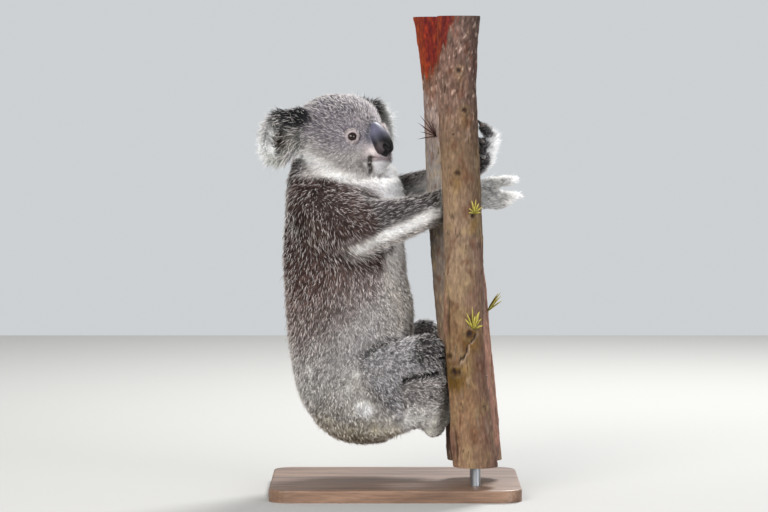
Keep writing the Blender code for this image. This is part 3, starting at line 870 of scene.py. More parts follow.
# Koala hair: woolly, dull, no glossy guard hairs, dark at the root and paler towards the end. Hairs are
# drawn 0.4 to 1 mm thick, far thicker than real ones, so that they show.
hairMaterial = texturedMaterial("koalaHair", {"Roughness": 0.75, "Specular IOR Level": 0.15}, "hairColour", {
    "grainMm": 2.63, "detail": 2.0, "shades": (0.8, 1.12)})
tuft = {
    "clumpShare": 0.045,  # clump middles for each hair
    "jitterDeg": 19,
    "swirlDeg": 14,  # slow turning of the lie from lock to lock
    "swirlMm": 17,
    "sizeSpread": 0.18,
    "widthSpread": 0.2,
    "liftSpreadDeg": 6,
    "paleLiftDeg": 8,  # hairs with pale ends stand out, and are longer and thicker
    "paleLonger": 0.12,
    "paleThicker": 0.35,
    "endLift": 0.45,  # the end's lift, as a share of the start's
    "longMm": 17.0,  # hairs from this size on bend in the middle, and shorter ones are plain spikes
    "headSpeckMm": 2.2,  # clusters of darker and lighter hairs
    "bodySpeckMm": 4.0,
    "speckle": 1.35,
    "legSpeckle": 0.8,
    "crownSpeckle": 1.5,
    "rootShade": 0.18,
    "spikeRootShade": 1.15,
    "endShade": 1.2,
    "paleEnd": "#efeae5",
    "mostTriangles": 190000,
    "patch": 0.003,  # size of one hair on the unwrapped square
}
corner = points[triangles]
areaCm2 = np.linalg.norm(np.cross(corner[:, 1] - corner[:, 0], corner[:, 2] - corner[:, 0]), axis=1) / 2 * 1e4
coatParts = {
    "head": ("head", "eye", "nose"),
    "ears": ("ear",),
    "trunk": ("torso", "neck"),
    "armR": ("upper_arm_R", "forearm_R"),
    "armL": ("upper_arm_L", "forearm_L"),
    "legR": ("thigh_R", "shin_R"),
    "legL": ("thigh_L", "shin_L"),
    "paws": ("hand", "foot"),
}
starts = list(coatParts.values())
nodePart = np.array([next(i for i in range(len(starts)) if n.startswith(starts[i])) for n in fleshNodes])
trianglePart = nodePart[vertexNode[triangles[:, 0]]]
wanted = areaCm2 * density[triangles].mean(1)
running = np.cumsum(wanted)
picks = np.arange(int(running[-1])) + random.random(int(running[-1]))
onTriangle = np.minimum(np.searchsorted(running, picks), len(triangles) - 1)
share = random.random((len(onTriangle), 2))
flip = share.sum(1) > 1
share[flip] = 1 - share[flip]
share = np.column_stack([1 - share.sum(1), share])
at = triangles[onTriangle]


def atRoots(field):
    if field.ndim == 1:
        return (field[at] * share).sum(1)
    return (field[at] * share[:, :, None]).sum(1)


root = atRoots(points)
rootNormal = unit(atRoots(softNormals))
way = unit(atRoots(lie))
count = len(root)
print("koala: hairs", count)
size = atRoots(length) * np.exp(tuft["sizeSpread"] * random.standard_normal(count)) * mm
thick = atRoots(halfWidth) * np.exp(tuft["widthSpread"] * random.standard_normal(count)) * mm
paleHair = random.random(count) < atRoots(pale)
onBody = atRoots(isBody)
thick = thick * (1 + tuft["paleThicker"] * paleHair * onBody)
raised = atRoots(lift) + tuft["liftSpreadDeg"] * random.standard_normal(count)
raised = np.radians(np.clip(raised + tuft["paleLiftDeg"] * paleHair, 4, 70))
size = size * (1 + tuft["paleLonger"] * paleHair)
sideways = np.cross(rootNormal, way)
loose = 1 + 1.1 * atRoots(woolly)
swing = np.radians(tuft["jitterDeg"]) * random.standard_normal(count) * loose
swing = swing + np.radians(tuft["swirlDeg"]) * atRoots(cloud(points, tuft["swirlMm"] * mm, 17.3, 2)) * loose
way = unit(way + np.tan(np.clip(swing, -1, 1))[:, None] * sideways)
lower = tuft["endLift"] * raised
startWay = np.cos(raised)[:, None] * way + np.sin(raised)[:, None] * rootNormal
endWay = np.cos(lower)[:, None] * way + np.sin(lower)[:, None] * rootNormal + 0.10 * down
bend = root + 0.5 * size[:, None] * startWay
tip = bend + 0.5 * size[:, None] * unit(endWay)
centres = random.permutation(count)[: max(1, int(count * tuft["clumpShare"]))]
clumps = KDTree(len(centres))
for i, c in enumerate(centres):
    clumps.insert(root[c], int(c))
clumps.balance()
mine = np.array([clumps.find(p)[1] for p in root])
gather = atRoots(clumping) * np.clip(size / (8 * mm), 0.3, 1.0) * np.where(paleHair, 0.15, 1.0)
gather = gather * (np.linalg.norm(root - root[mine], axis=1) < 12 * mm)
tip = tip + gather[:, None] * (tip[mine] - tip)
bend = bend + 0.35 * gather[:, None] * (bend[mine] - bend)

for i in nearStems(tip):  # hairs are pushed out of the bark
    for spot in (bend, tip):
        gap, outward = stemGap(spot[i])
        if gap < 0.8 * mm:
            spot[i] += (0.9 * mm - gap) * np.array(outward)

base = atRoots(marksAndPaintedLight)
speckMm = np.where(atRoots(onHead) > 0.5, tuft["headSpeckMm"], tuft["bodySpeckMm"])
speck = cloud(root / speckMm[:, None], mm, 5.5)
paleness = np.clip(base.mean(1) / 0.6, 0, 1)[:, None]
speckled = 1 + tuft["legSpeckle"] * atRoots(isLeg * (1 - foldShade))
speckled = speckled + tuft["crownSpeckle"] * atRoots(onHead * crown)  # how uneven the coat's tone is here
speckled = speckled * (1 - 0.45 * paleness[:, 0] ** 2) * (1 - 0.6 * atRoots(thinFace))
speckled = speckled * (1 - 0.6 * atRoots(isBody * (1 - ease(z, 95, 125))))
tone = 0.16 * random.standard_normal(count) + tuft["speckle"] * np.clip(speck, -0.8, 0.5)
tone = np.exp(tone * speckled)[:, None]
paleShare = np.where(paleHair[:, None], random.random((count, 1)) * 0.62 + 0.38, 0.0)
rootColour = base * tone * (tuft["rootShade"] + 0.72 * paleness ** 3)
bendColour = base * tone
tipColour = base * tone * tuft["endShade"]
tipColour = np.minimum(blend(tipColour, linear(tuft["paleEnd"]), paleShare), 0.95)
bendShare = paleShare * (0.85 - 0.3 * onBody[:, None])
bendColour = blend(bendColour, linear(tuft["paleEnd"]), bendShare)


def ringAround(centre, along, radius):  # three corners round the hair's line
    side = unit(np.cross(along, rootNormal + 1e-4))
    top = np.cross(side, unit(along))
    outwards = [math.cos(a) * side + math.sin(a) * top for a in np.radians([90, 210, 330])]
    return np.stack([centre + radius[:, None] * outward for outward in outwards], 1)


rootRing = ringAround(root - 0.6 * mm * rootNormal, bend - root, thick)
bendRing = ringAround(bend, tip - root, 0.72 * thick)
partOf = trianglePart[onTriangle]


def unwrapped(places):  # turn and slope about the part's long way, filling the square but for its rim
    low, high = places.min(0), places.max(0)
    rel = (places - (low + high) / 2) / np.maximum((high - low) / 2, 1e-6)
    long = int(np.argmax(high - low))
    rel = unit(rel)
    a, b = [k for k in range(3) if k != long]
    turn = np.arctan2(rel[:, b], rel[:, a]) / (2 * math.pi) + 0.5
    slope = np.arcsin(np.clip(rel[:, long], -1, 1)) / math.pi + 0.5
    return np.column_stack([turn, slope]) * 0.994 + 0.003


# How one hair's corners join up: a spike (ring, tip), a spindle (root, ring, tip) or a bent hair
# (ring, ring, tip).
shapes = {
    "short": [(0, 2, 1), (0, 1, 3), (1, 2, 3), (2, 0, 3)],
    "tick": [(0, 2, 1), (0, 3, 2), (0, 1, 3), (1, 2, 4), (2, 3, 4), (3, 1, 4)],
    "long": [(0, 2, 1), (0, 1, 4), (0, 4, 3), (1, 2, 5), (1, 5, 4), (2, 0, 3), (2, 3, 5), (3, 4, 6),
             (4, 5, 6), (5, 3, 6)],
}


def coatPiece(name, chosen, kind):
    half = tuft["patch"] / 2
    rows = [(bendRing, bendColour, 0), (tip[:, None], tipColour, half)]
    if kind == "short":
        rows = [(rootRing, rootColour * tuft["spikeRootShade"], -half), rows[1]]
    elif kind == "tick":
        rows = [(root[:, None], rootColour, -half), *rows]
    else:
        rows = [(rootRing, rootColour, -half), *rows]
    corners = np.concatenate([spots[chosen] for spots, _, _ in rows], 1)
    shades = np.concatenate([np.repeat(c[chosen][:, None], p.shape[1], 1) for p, c, _ in rows], 1)
    offsets = [(x * half * (p.shape[1] > 1), y + 0.2 * half * (x == 0) * (p.shape[1] > 1))
               for p, _, y in rows for x in (-1, 0, 1)[:p.shape[1]]]
    each = corners.shape[1]
    faces = (np.arange(len(chosen))[:, None, None] * each + np.array(shapes[kind])[None]).reshape(-1, 3)
    mesh = makeMesh(name, corners.reshape(-1, 3), faces)
    colourPoints(mesh, "hairColour", shades.reshape(-1, 3))
    uv = (unwrapped(root[chosen])[:, None] + np.array(offsets)[None]).reshape(-1, 2)[faces.ravel()]
    layer = mesh.uv_layers.new(name="OFBake")
    layer.data.foreach_set("uv", uv.astype(np.float32).ravel())
    addPiece(name, mesh, hairMaterial)
    return len(faces)


isLong = (size >= tuft["longMm"] * mm) & (atRoots(isLeg) < 0.5)
isTick = paleHair & ~isLong
total = 0
for index, part in enumerate(coatParts):
    for kind, ofKind in (("short", ~isLong & ~isTick), ("tick", isTick), ("long", isLong)):
        chosen = np.where((partOf == index) & ofKind)[0]
        if not len(chosen):
            continue
        pieces = math.ceil(len(chosen) * len(shapes[kind]) / tuft["mostTriangles"])
        chosen = chosen[random.permutation(len(chosen))]
        for number in range(pieces):
            total += coatPiece(f"coat_{part}_{kind}_{number + 1}", chosen[number::pieces], kind)
print("koala: coat triangles", total)

eye = {
    "iris": "#1d100b",
    "limbus": "#0b0705",
    "limbusDeg": (26, 34),  # where the iris fades into its dark edge
    "pupil": "#050404",
    "slitDeg": 5,  # half the pupil's width
    "slitHigh": 0.32,  # half its height, as a share of the ball's radius
    "bulgeMm": 0.5,
}
# Glass eye, blown and polished: dark brown iris under a clear wet-looking front.
# Its fibres are drawn 1 mm wide so that they show.
eyeMaterial = texturedMaterial("glassEye", {"Roughness": 0.05, "IOR": 1.34}, "eyeColour", {
    "grainMm": 1.11, "detail": 2.0, "shades": (0.75, (1.2, 1.15, 1.1))})
shell, shellFaces = ballShape(5)
for side, sign in sides.items():
    axis, across, upward = eyeDirections(sign)
    angle = np.degrees(np.arccos(np.clip(shell @ axis, -1, 1)))
    radius = face["eyeRadiusMm"] + eye["bulgeMm"] * np.exp(-(angle / 22) ** 2)
    places = fromHead(toHead(eyeAt[side]) + shell * radius[:, None])
    mesh = makeMesh("eyeball_" + side, places, shellFaces)
    slitWide = math.sin(math.radians(eye["slitDeg"]))
    slit = np.hypot((shell @ across) / slitWide, (shell @ upward) / eye["slitHigh"])
    tint = blend(linear(eye["iris"]), linear(eye["limbus"]), ease(angle, *eye["limbusDeg"])[:, None])
    hole = (1 - ease(slit, 0.8, 1.1))[:, None]
    colourPoints(mesh, "eyeColour", blend(tint, linear(eye["pupil"]), hole))
    addPiece("eyeball_" + side, mesh, eyeMaterial, ["eye_" + side])

# Nose pad: broad and flat, with a nostril low on each side.
nose = {
    "centre": (91, 0, -21),  # forward, left, up of the head's middle
    "leanDeg": 33,
    "half": (15.6, 28.4, 13.5),  # sideways, along, out
    "squareness": (0.88, 0.92, 0.85),  # 1 is a plain oval
    "nostrilAt": (6.4, 19.5),
    "nostrilDeepMm": 5.5,
    "grooveDeepMm": 0.8,
    "wrinkleMm": 0.12,
    "lowEdge": 19,  # the pad is cut short past this
    "top": "#4f4f5e",
    "front": "#060506",
    "side": "#332b2d",
}
lean = math.radians(nose["leanDeg"])
along = np.array([math.sin(lean), 0, -math.cos(lean)])
outward = np.array([math.cos(lean), 0, math.sin(lean)])
padAxes = np.stack([(0, 1, 0), along, outward])
shell, shellFaces = ballShape(6)
pad = np.sign(shell) * np.abs(shell) ** np.array(nose["squareness"]) * nose["half"]
pad[:, 0] *= 1 + 0.17 * np.sin(pad[:, 1] / 29 * 2.0)
nostrils = np.zeros(len(pad))
for sign in (-1, 1):
    sx, sy = sign * nose["nostrilAt"][0], nose["nostrilAt"][1]
    line = [(sx * 0.7, sy + 2.5, 0), (sx, sy - 0.5, 0), (sx * 1.35, sy - 3.0, 0)]
    nostrils = np.maximum(nostrils, lineWeight(pad * (1, 1, 0), line, 2.7) * (pad[:, 2] > 0))
groove = np.exp(-(pad[:, 0] / 1.3) ** 2) * ease(pad[:, 1], 15, 24) * (pad[:, 2] > 0)
padNormals = unit(shell / np.array(nose["half"]))
pad = pad - padNormals * (nose["nostrilDeepMm"] * nostrils + nose["grooveDeepMm"] * groove)[:, None]
pastEdge = pad[:, 1] - nose["lowEdge"]
pad[:, 1] = np.where(pastEdge > 0, nose["lowEdge"] + 0.65 * pastEdge, pad[:, 1])
padHead = np.array(nose["centre"]) + pad @ padAxes
wrinkles = nose["wrinkleMm"] * cloud(padHead, 1.6, 5.0, 2)
padHead = padHead + wrinkles[:, None] * (padNormals @ padAxes)
mesh = makeMesh("nose_pad", fromHead(padHead), shellFaces)
# the pad grey-blue on top and black in front: partly the leather's own colour, partly a painted sheen on the
# top, which faces up to the light
tint = blend(linear(nose["top"]), linear(nose["front"]), ease(pad[:, 1], -14, 10)[:, None])
sideSkin = (ease(np.abs(pad[:, 0]), 8, 12.5) * ease(pad[:, 1], 5, 14))[:, None]
tint = blend(tint, linear(nose["side"]), sideSkin)
# painted shade in the nostrils
tint = tint * (1 - 0.93 * np.clip(nostrils * 1.2, 0, 1))[:, None]
colourPoints(mesh, "padColour", tint)
# Nose leather: bare, fine-grained skin, dry on top and moist round the nostrils. The 0.3 mm grain
# is drawn at 0.8 mm so that it shows.
padMaterial = texturedMaterial("noseLeather", {"Roughness": 0.5, "Specular IOR Level": 0.22}, "padColour", {
    "grainMm": 6.25, "detail": 3.0, "stops": (0.35, 0.7), "shades": ((0.82, 0.82, 0.84), (1.12, 1.1, 1.12)),
    "poresMm": 0.8, "relief": (0.35, 0.3)})
addPiece("nose_pad", mesh, padMaterial, ["nose"])

clawShape = {"sides": 14, "rings": 18, "rootMm": 5, "thin": 0.78, "root": "#6b625a", "end": "#1d1a19"}
# Claw horn: dark, dense keratin, polished by climbing, with faint lengthwise streaks and a paler root.
clawMaterial = texturedMaterial("clawHorn", {"Roughness": 0.33, "IOR": 1.54}, "clawColour", {
    "grainMm": 2.38, "detail": 3.0, "shades": (0.7, (1.3, 1.25, 1.2)), "relief": (0.2, 0.2)})


def clawMesh(path):
    around, rings = clawShape["sides"], clawShape["rings"]
    centres = np.array([c for c, _ in path])
    radii = np.array([r for _, r in path])
    step = unit(centres[0] - centres[1])
    centres = np.vstack([centres[0] + step * clawShape["rootMm"] * mm, centres])
    radii = np.concatenate([[radii[0] * 0.9], radii])
    t = np.concatenate([[0], np.cumsum(np.linalg.norm(np.diff(centres, axis=0), axis=1))])
    t /= t[-1]
    fineT = np.linspace(0, 1, rings)
    curve = np.stack([np.polyval(np.polyfit(t, centres[:, k], 3), fineT) for k in range(3)], 1)
    width = np.interp(fineT, t, radii)
    width[-1] = 0.15 * mm
    ahead = unit(np.gradient(curve, axis=0))
    plane = unit(np.cross(ahead[2], ahead[-3]) + 1e-6)
    top = unit(np.cross(plane, ahead))
    lines = []
    for a in 2 * math.pi * np.arange(around) / around:
        lines.append(curve + width[:, None] * (math.cos(a) * clawShape["thin"] * plane + math.sin(a) * top))
    places = np.vstack([np.stack(lines, 1).reshape(-1, 3), curve[0], curve[-1]])
    faces = tubeFaces(rings, around)[:, [0, 1, 2, 0, 2, 3]].reshape(-1, 3).tolist()
    last = (rings - 1) * around
    for k in range(around):
        after = (k + 1) % around
        faces += [(len(places) - 2, after, k), (last + k, last + after, len(places) - 1)]
    return places, faces, np.concatenate([np.repeat(fineT, around), [0, 1]])


for name, paths in claws.items():
    places, faces, tints = [], [], []
    for path in paths:
        clawPlaces, clawFaces, shareAlong = clawMesh(path)
        joinTo(places, faces, clawPlaces, clawFaces)
        darker = ease(shareAlong, 0.15, 0.5)[:, None]
        tints.append(blend(linear(clawShape["root"]), linear(clawShape["end"]), darker))
    if places:
        mesh = makeMesh("claws_" + name, np.array(places), faces)
        colourPoints(mesh, "clawColour", np.vstack(tints))
        addPiece("claws_" + name, mesh, clawMaterial)

# Stems: the CAD stems' own cross-sections, with bark drawn over them.
# the side tone: painted light and shade, brightness by how far a spot looks along X, 1 being away from the
# koala;
# knots: where on the near side (x, z), size and how far they weep; strips: loose lengths of old bark by turn,
# half width in degrees, bottom, top, thickness and which edge stands open
frontStem = {
    "node": "perch_stem_front",
    "around": 132,
    "levels": 250,
    "colours": [(55, "#967860"), (130, "#97765a"), (190, "#82654a"), (235, "#896d52"), (285, "#998062"),
                (330, "#9b836c"), (380, "#967e69"), (440, "#8f7660"), (500, "#836b55"), (560, "#82695c"),
                (620, "#7e6257"), (690, "#6f5a52")],
    "paintedSideLight": ([-1, -0.4, 0.2, 0.7, 1], [1.5, 1.22, 0.94, 0.70, 0.6]),
    "knots": [(90, 611, 5.5, 0.2), (98, 555, 5, 0.4), (82, 520, 2.5, 0.1), (87, 466, 6, 0.5),
              (111, 405, 5, 0.5), (107, 238, 8.5, 1.1), (76, 205, 6.5, 0.3), (85, 183, 8, 1.5)],
    "strips": [(-165, 15, 225, 303, 2.6, 1), (-165, 15, 52, 112, 2.4, 1)],
    "split": [(114, 0, 236), (104, 0, 222), (98, 0, 206), (90, 0, 197)],  # down from the largest knot
    "lip": [(117, 0, 237), (107, 0, 222), (101, 0, 206), (93, 0, 196)],
    "tone": 0.44,
}
rearStem = {
    "node": "perch_stem_rear",
    "around": 132,
    "levels": 240,
    "colours": [(55, "#5f4a42"), (118, "#766455"), (160, "#6c5847"), (205, "#8a7363"), (240, "#877462"),
                (330, "#877a70"), (450, "#96908c"), (505, "#928781"), (565, "#9b857c"), (590, "#7b5d4f"),
                (690, "#6a4a3c")],
    "paintedSideLight": ([-1, 1], [1, 1]),
    "knots": [(52, 430, 4.5, 0.3)],
    "strips": [(-38, 24, 60, 262, 1.5, -1), (8, 18, 90, 330, 1.4, -1), (150, 22, 400, 640, 1.2, -1)],
    "tone": 0.66,
}


def crossSections(node, levels, around):
    tree = BVHTree.FromPolygons(*nodeSurface(node))
    low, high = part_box(node)
    heights = np.linspace(low[2] + 0.2 * mm, high[2] - 0.2 * mm, levels)
    rims = [v.co for v in frame["nodes"][node].data.vertices if v.co[2] > high[2] - 1 * mm]
    centre = sum(rims, Vector()) / len(rims)
    turns = np.linspace(0, 2 * math.pi, around, endpoint=False)

    def reachOf(start, turn):  # a ray that slips between two faces is turned a little and sent again
        for nudge in (0, 0.002, -0.002, 0.01):
            hit = tree.ray_cast(start, Vector((math.cos(turn + nudge), math.sin(turn + nudge), nudge)))[0]
            if hit:
                return hit
        return start

    rings, centres = [], []
    for height in heights[::-1]:
        for _ in range(2):
            start = Vector((centre[0], centre[1], height))
            reach = [reachOf(start, turn) for turn in turns]
            centre = sum(reach, Vector()) / len(reach)
        rings.append(reach)
        centres.append(centre)
    return np.array(rings)[::-1], np.array(centres)[::-1]


def evenCloud(places, size, seed, detail):  # lumps of the same strength whatever their size
    lumps = cloud(places, size * mm, seed, detail)
    return (lumps - lumps.mean()) / lumps.std()


sawn = {
    "shells": 44,
    "growthMm": 3.4,  # from one ring of growth to the next
    "barkMm": 2.2,
    "wood": "#b58f68",
    "heartwood": "#84543a",
    "bark": "#5d4336",
}


def sawnEnds(name, rims):  # rings of growth inside the bark's edge, the bottom end first
    places, faces, tints = [], [], []
    shells = np.linspace(1, 0.02, sawn["shells"])[:, None]
    for rim, turnOver in zip(rims, (True, False)):
        heart = rim.mean(0)
        end = heart + (rim - heart) * shells[:, :, None]
        reach = np.linalg.norm(rim - heart, axis=1) / mm
        fromHeart = shells * reach
        wobble = cloud(end.reshape(-1, 3), 14 * mm, 6.6).reshape(fromHeart.shape)
        growth = np.sin((fromHeart + 1.6 * wobble) * 2 * math.pi / sawn["growthMm"])
        growth = (0.5 + 0.5 * growth)[..., None]
        heartwood = (1 - ease(fromHeart, 9, 15))[..., None]
        wood = linear(sawn["wood"]) * (0.72 + 0.28 * growth)
        wood = blend(wood, linear(sawn["heartwood"]) * (0.8 + 0.2 * growth), heartwood)
        woodEnd = reach.max() - sawn["barkMm"]
        bark = ease(fromHeart, woodEnd - 1, woodEnd)[..., None]
        quads = tubeFaces(*fromHeart.shape) + len(places) * fromHeart.size
        faces.append(quads[:, ::-1] if turnOver else quads)
        places.append(end.reshape(-1, 3))
        tints.append(blend(wood, linear(sawn["bark"]), bark).reshape(-1, 3))
    mesh = makeMesh(name + "_ends", np.concatenate(places), np.concatenate(faces))
    colourPoints(mesh, "woodColour", np.concatenate(tints))
    return mesh


def barkPiece(name, look):
    rings, centres = crossSections(look["node"], look["levels"], look["around"])
    flat = rings.reshape(-1, 3)
    outward = unit((flat - np.repeat(centres, look["around"], axis=0)) * (1, 1, 0))
    x, _, heights = flat.T / mm
    lumps = evenCloud(flat, 46, 2.2, 2)
    patches = evenCloud(flat * (1, 1, 0.6), 19, 9.1, 3)
    streaks = evenCloud(flat * (1, 1, 0.16), 5.5, 4.4, 3)
    mottle = evenCloud(flat * (1, 1, 0.6), 6, 1.3, 3)
    fine = evenCloud(flat * (1, 1, 0.4), 2.8, 7.7, 2)
    rise = -0.6 + 0.18 * lumps + 0.24 * streaks + 0.14 * mottle + 0.10 * fine
    tint = colourAt(look["colours"], heights + 8 * lumps)
    # painted light and shade: lighter where the stem looks towards -X, darker where it looks along +X
    tint = tint * np.interp(outward[:, 0], *look["paintedSideLight"])[:, None]

    def wash(colour, weight):
        nonlocal tint
        tint = blend(tint, linear(colour), np.clip(weight, 0, 1)[:, None])

    facingFront = ease(-outward[:, 1], -0.2, 0.5)
    wash("#8d6c62", ease(outward[:, 0] + 0.15 * lumps, 0.1, 0.8) * (1 - ease(heights, 330, 420)) * 0.5)
    wash("#a08a63", ease(patches, 0.4, 1.6) * (1 - ease(heights, 480, 540)) * 0.4)
    wash("#7a4a30", ease(-patches, 0.6, 1.8) * 0.45)
    wash("#b9a394", ease(mottle, 1.0, 1.9) * ease(heights, 480, 570) * 0.6)
    wash("#4a3425", ease(streaks, 1.2, 2.3) * 0.45)
    wash("#c0a994", ease(-streaks, 1.2, 2.3) * 0.35)
    veins = evenCloud(flat * (1, 1, 0.10), 13, 12.2, 2)
    crack = np.exp(-(veins / 0.09) ** 2) * ease(patches + 0.6 * lumps, 0.1, 1.0)
    rise -= 0.9 * crack
    wash("#2f211a", crack * 0.75)
    for knotX, knotZ, size, weeps in look["knots"]:
        side = np.abs(x - knotX)
        above = heights - knotZ
        gap = np.hypot(side, above * 1.1) / size + 0.10 * mottle
        rise += facingFront * (1.9 * np.exp(-((gap - 0.95) / 0.4) ** 2) - 1.6 * np.exp(-(gap / 0.55) ** 2))
        below = np.exp(-(side / (size * 1.4)) ** 2) * ease(-above, -12, -3) * (1 - ease(-above, 12, 36))
        wash("#7f5f18", facingFront * below * weeps * (0.95 + 0.15 * patches))
        wash("#a08a72", facingFront * np.exp(-((gap - 1.15) / 0.3) ** 2) * 0.45)
        wash("#2a1a10", facingFront * np.exp(-(gap / 0.66) ** 2) * 0.95)
    if "split" in look:
        across = np.column_stack([x + 1.2 * mottle, np.zeros(len(x)), heights])
        split = lineWeight(across, look["split"], 1.6) * facingFront
        lip = lineWeight(across, look["lip"], 1.5) * facingFront
        rise += 0.8 * lip - 1.5 * split
        wash("#c4a78e", lip * 0.8)
        wash("#2a1b12", split)
    for turnDeg, widthDeg, bottom, top, thickness, openSide in look["strips"]:
        wander = 4 * np.sin(heights / 31) + 2 * np.sin(heights / 11 + 1)
        turn = np.degrees(np.arctan2(outward[:, 1], outward[:, 0]))
        across = -openSide * ((turn - turnDeg - wander + 180) % 360 - 180)
        ends = ease(heights, bottom, bottom + 16) * (1 - ease(heights, top - 22, top))
        onStrip = ease(across, -widthDeg, -widthDeg * 0.8) * (1 - ease(across, widthDeg * 0.5, widthDeg))
        onStrip = onStrip * ends
        rise += thickness * onStrip * (0.85 + 0.1 * streaks)
        wash("#a37b69", onStrip * 0.75)
        # painted shade along the strip's open edge, where it stands off the stem
        edge = np.exp(-((across + widthDeg + 3) / 4) ** 2) * ends
        rise -= 2.2 * edge
        wash("#3a2a20", edge * 0.85)
    # old bark near the top still deep red, running out to a point down the left
    redEdge = 54 + 0.42 * (heights - 605) + 3.5 * streaks + 2 * lumps
    red = ease(redEdge - x, -3, 7) * ease(heights + 5 * streaks, 596, 612) * ease(-outward[:, 1], -0.35, 0)
    wash("#7a2604", red * 0.95)
    wash("#521703", red * ease(patches, 0.2, 1.3) * 0.6)
    # orange streaks in the old red bark, and a painted highlight of orange along the edge that looks towards
    # -X
    wash("#a4480f", red * np.clip(ease(-streaks, 0.6, 1.8) + ease(-outward[:, 0], 0.7, 0.95), 0, 1) * 0.6)
    rough = 0.6 + 0.8 * ease(heights, 500, 570)  # smoother where the old bark has come away
    contrast = np.exp(rough * (0.13 * streaks + 0.11 * mottle + 0.10 * fine) + 0.07 * patches)
    tint = np.clip(look["tone"] * tint * contrast[:, None], 0.01, 0.9)
    rise = np.clip(rise, -3.0, 2.4)
    cap = ease(np.minimum(heights - heights.min(), heights.max() - heights), 0, 2.5)
    flat = flat + outward * ((rise * cap - 0.8 * (1 - cap)) * mm)[:, None]
    mesh = makeMesh(name, flat, tubeFaces(look["levels"], look["around"]))
    colourPoints(mesh, "barkColour", tint)
    return mesh, sawnEnds(name, (flat[:look["around"]], flat[-look["around"]:]))


# Smooth gum bark that sheds in strips: dull, slightly chalky, stained where it weeps. Its fibres run up
# the stem and are drawn 3 mm wide so that they show.
barkMaterial = texturedMaterial("gumBark", {"Roughness": 0.85, "Specular IOR Level": 0.12}, "barkColour", {
    "grainMm": 3.03, "detail": 6.0, "stretch": (1, 1, 0.35), "relief": (0.6, 0.8),
    "shades": ((0.74, 0.72, 0.70), (1.18, 1.17, 1.16))})
# Sawn gum wood: dry end grain, rings 3 mm apart, rough from the saw.
sawnMaterial = texturedMaterial("sawnGumWood", {"Roughness": 0.7}, "woodColour", {
    "grainMm": 1.43, "detail": 3.0, "shades": (0.8, 1.12), "relief": (0.5, 0.4)})
for slot, look, name in (("front_bark", frontStem, "bark_front"), ("rear_bark", rearStem, "bark_rear")):
    bark, ends = barkPiece(name, look)
    addPiece(name, bark, barkMaterial, [look["node"]])
    addPiece(name + "_ends", ends, sawnMaterial)

# Shoots on the stems: fans of small leaves and of dead twigs, each the (x, z) of its foot, then for every
# blade how far it goes along x, out to the side and up, its half width and its thickness as a share of that.
shoots = {
    "leaves": ("#6a6524", "#ab9d48", [
        (112, 408, [(-8, 5, 10, 1.5, .3), (-4, 8, 21, 1.7, .3), (0, 9, 12, 1.8, .3), (2, 8, 23, 1.3, .3),
                    (6, 9, 17, 2.0, .3), (11, 6, 12, 1.5, .3), (9, 7, 4, 1.3, .3), (-9, 8, 4, 1.3, .3)]),
        (110, 244, [(-9, 7, 26, 1.5, .3), (-11, 8, 17, 1.8, .3), (-4, 9, 12, 2.0, .4), (-1, 9, 35, 1.3, .3),
                    (3, 10, 22, 2.2, .4), (9, 9, 28, 3.0, .5), (12, 8, 18, 1.7, .3), (14, 8, 8, 2.0, .4),
                    (4, 11, 9, 2.0, .4), (7, 10, 17, 1.5, .3)]),
        (134, 262, [(17, 4, 22, .5, 1), (12, 5, 19, 1.3, .4), (16, 2, 29, 1.5, .4), (20, 4, 25, 1.4, .4),
                    (22, 3, 18, 1.3, .4), (20, 6, 31, 1.2, .4)]),
    ]),
    "twigs": ("#2c1412", "#4a2019", [
        (59, 516, [(-27, 7, -2, .8, 1), (-24, 9, 9, .7, 1), (-27, 8, 22, .8, 1), (-24, 6, 33, .8, 1),
                   (-16, 9, 31, .7, 1), (-7, 7, 24, .7, 1), (-20, 11, 16, .6, 1), (-12, 11, 12, .7, 1)]),
    ]),
}


def blade(foot, reach, halfWidth, thin):  # a leaf or twig as four rings, pointed and drooping a little
    heading = unit(reach)
    across = unit(np.cross(heading, (0.2, 1, 0.1)))
    flatWay = np.cross(heading, across)
    places = []
    for t, width in ((-0.06, 0.5), (0.3, 1.0), (0.7, 0.75), (1.0, 0.08)):
        centre = foot + np.array(reach) * t + 2.0 * down * t * t
        for a, b in ((1, 0), (0, 1), (-1, 0), (0, -1)):
            places.append(centre + halfWidth * width * (a * across + b * thin * flatWay))
    ends = [(0, 1, 2, 3), (15, 14, 13, 12)]
    return np.array(places) * mm, ends + tubeFaces(4, 4)[:, [0, 3, 2, 1]].tolist()


# Young gum leaf, waxy and thin; dead twig, dry and dull. Both with a grain about 1 mm across.
leafMaterial = texturedMaterial("gumShoot", {"Roughness": 0.5, "Specular IOR Level": 0.4}, "shootColour", {
    "grainMm": 1.11, "detail": 3.0, "stretch": (1, 1, 0.4), "relief": (0.3, 0.3),
    "shades": ((0.75, 0.75, 0.7), (1.15, 1.15, 1.1))})
for name, (footColour, endColour, fans) in shoots.items():
    places, faces = [], []
    for footX, footZ, blades in fans:
        hit = stemTree.ray_cast(Vector((footX, -400, footZ)) * mm, Vector((0, 1, 0)))[0]
        for alongX, outY, upZ, halfWidth, thin in blades:
            joinTo(places, faces, *blade(np.array(hit) / mm, (alongX, -outY, upZ), halfWidth, thin))
    mesh = makeMesh("shoot_" + name, np.array(places), faces)
    ringShare = np.tile(np.repeat(np.arange(4) / 3, 4), len(places) // 16)[:, None]
    colourPoints(mesh, "shootColour", blend(linear(footColour), linear(endColour), ringShare))
    addPiece("shoot_" + name, mesh, leafMaterial)
print("koala: stems built")

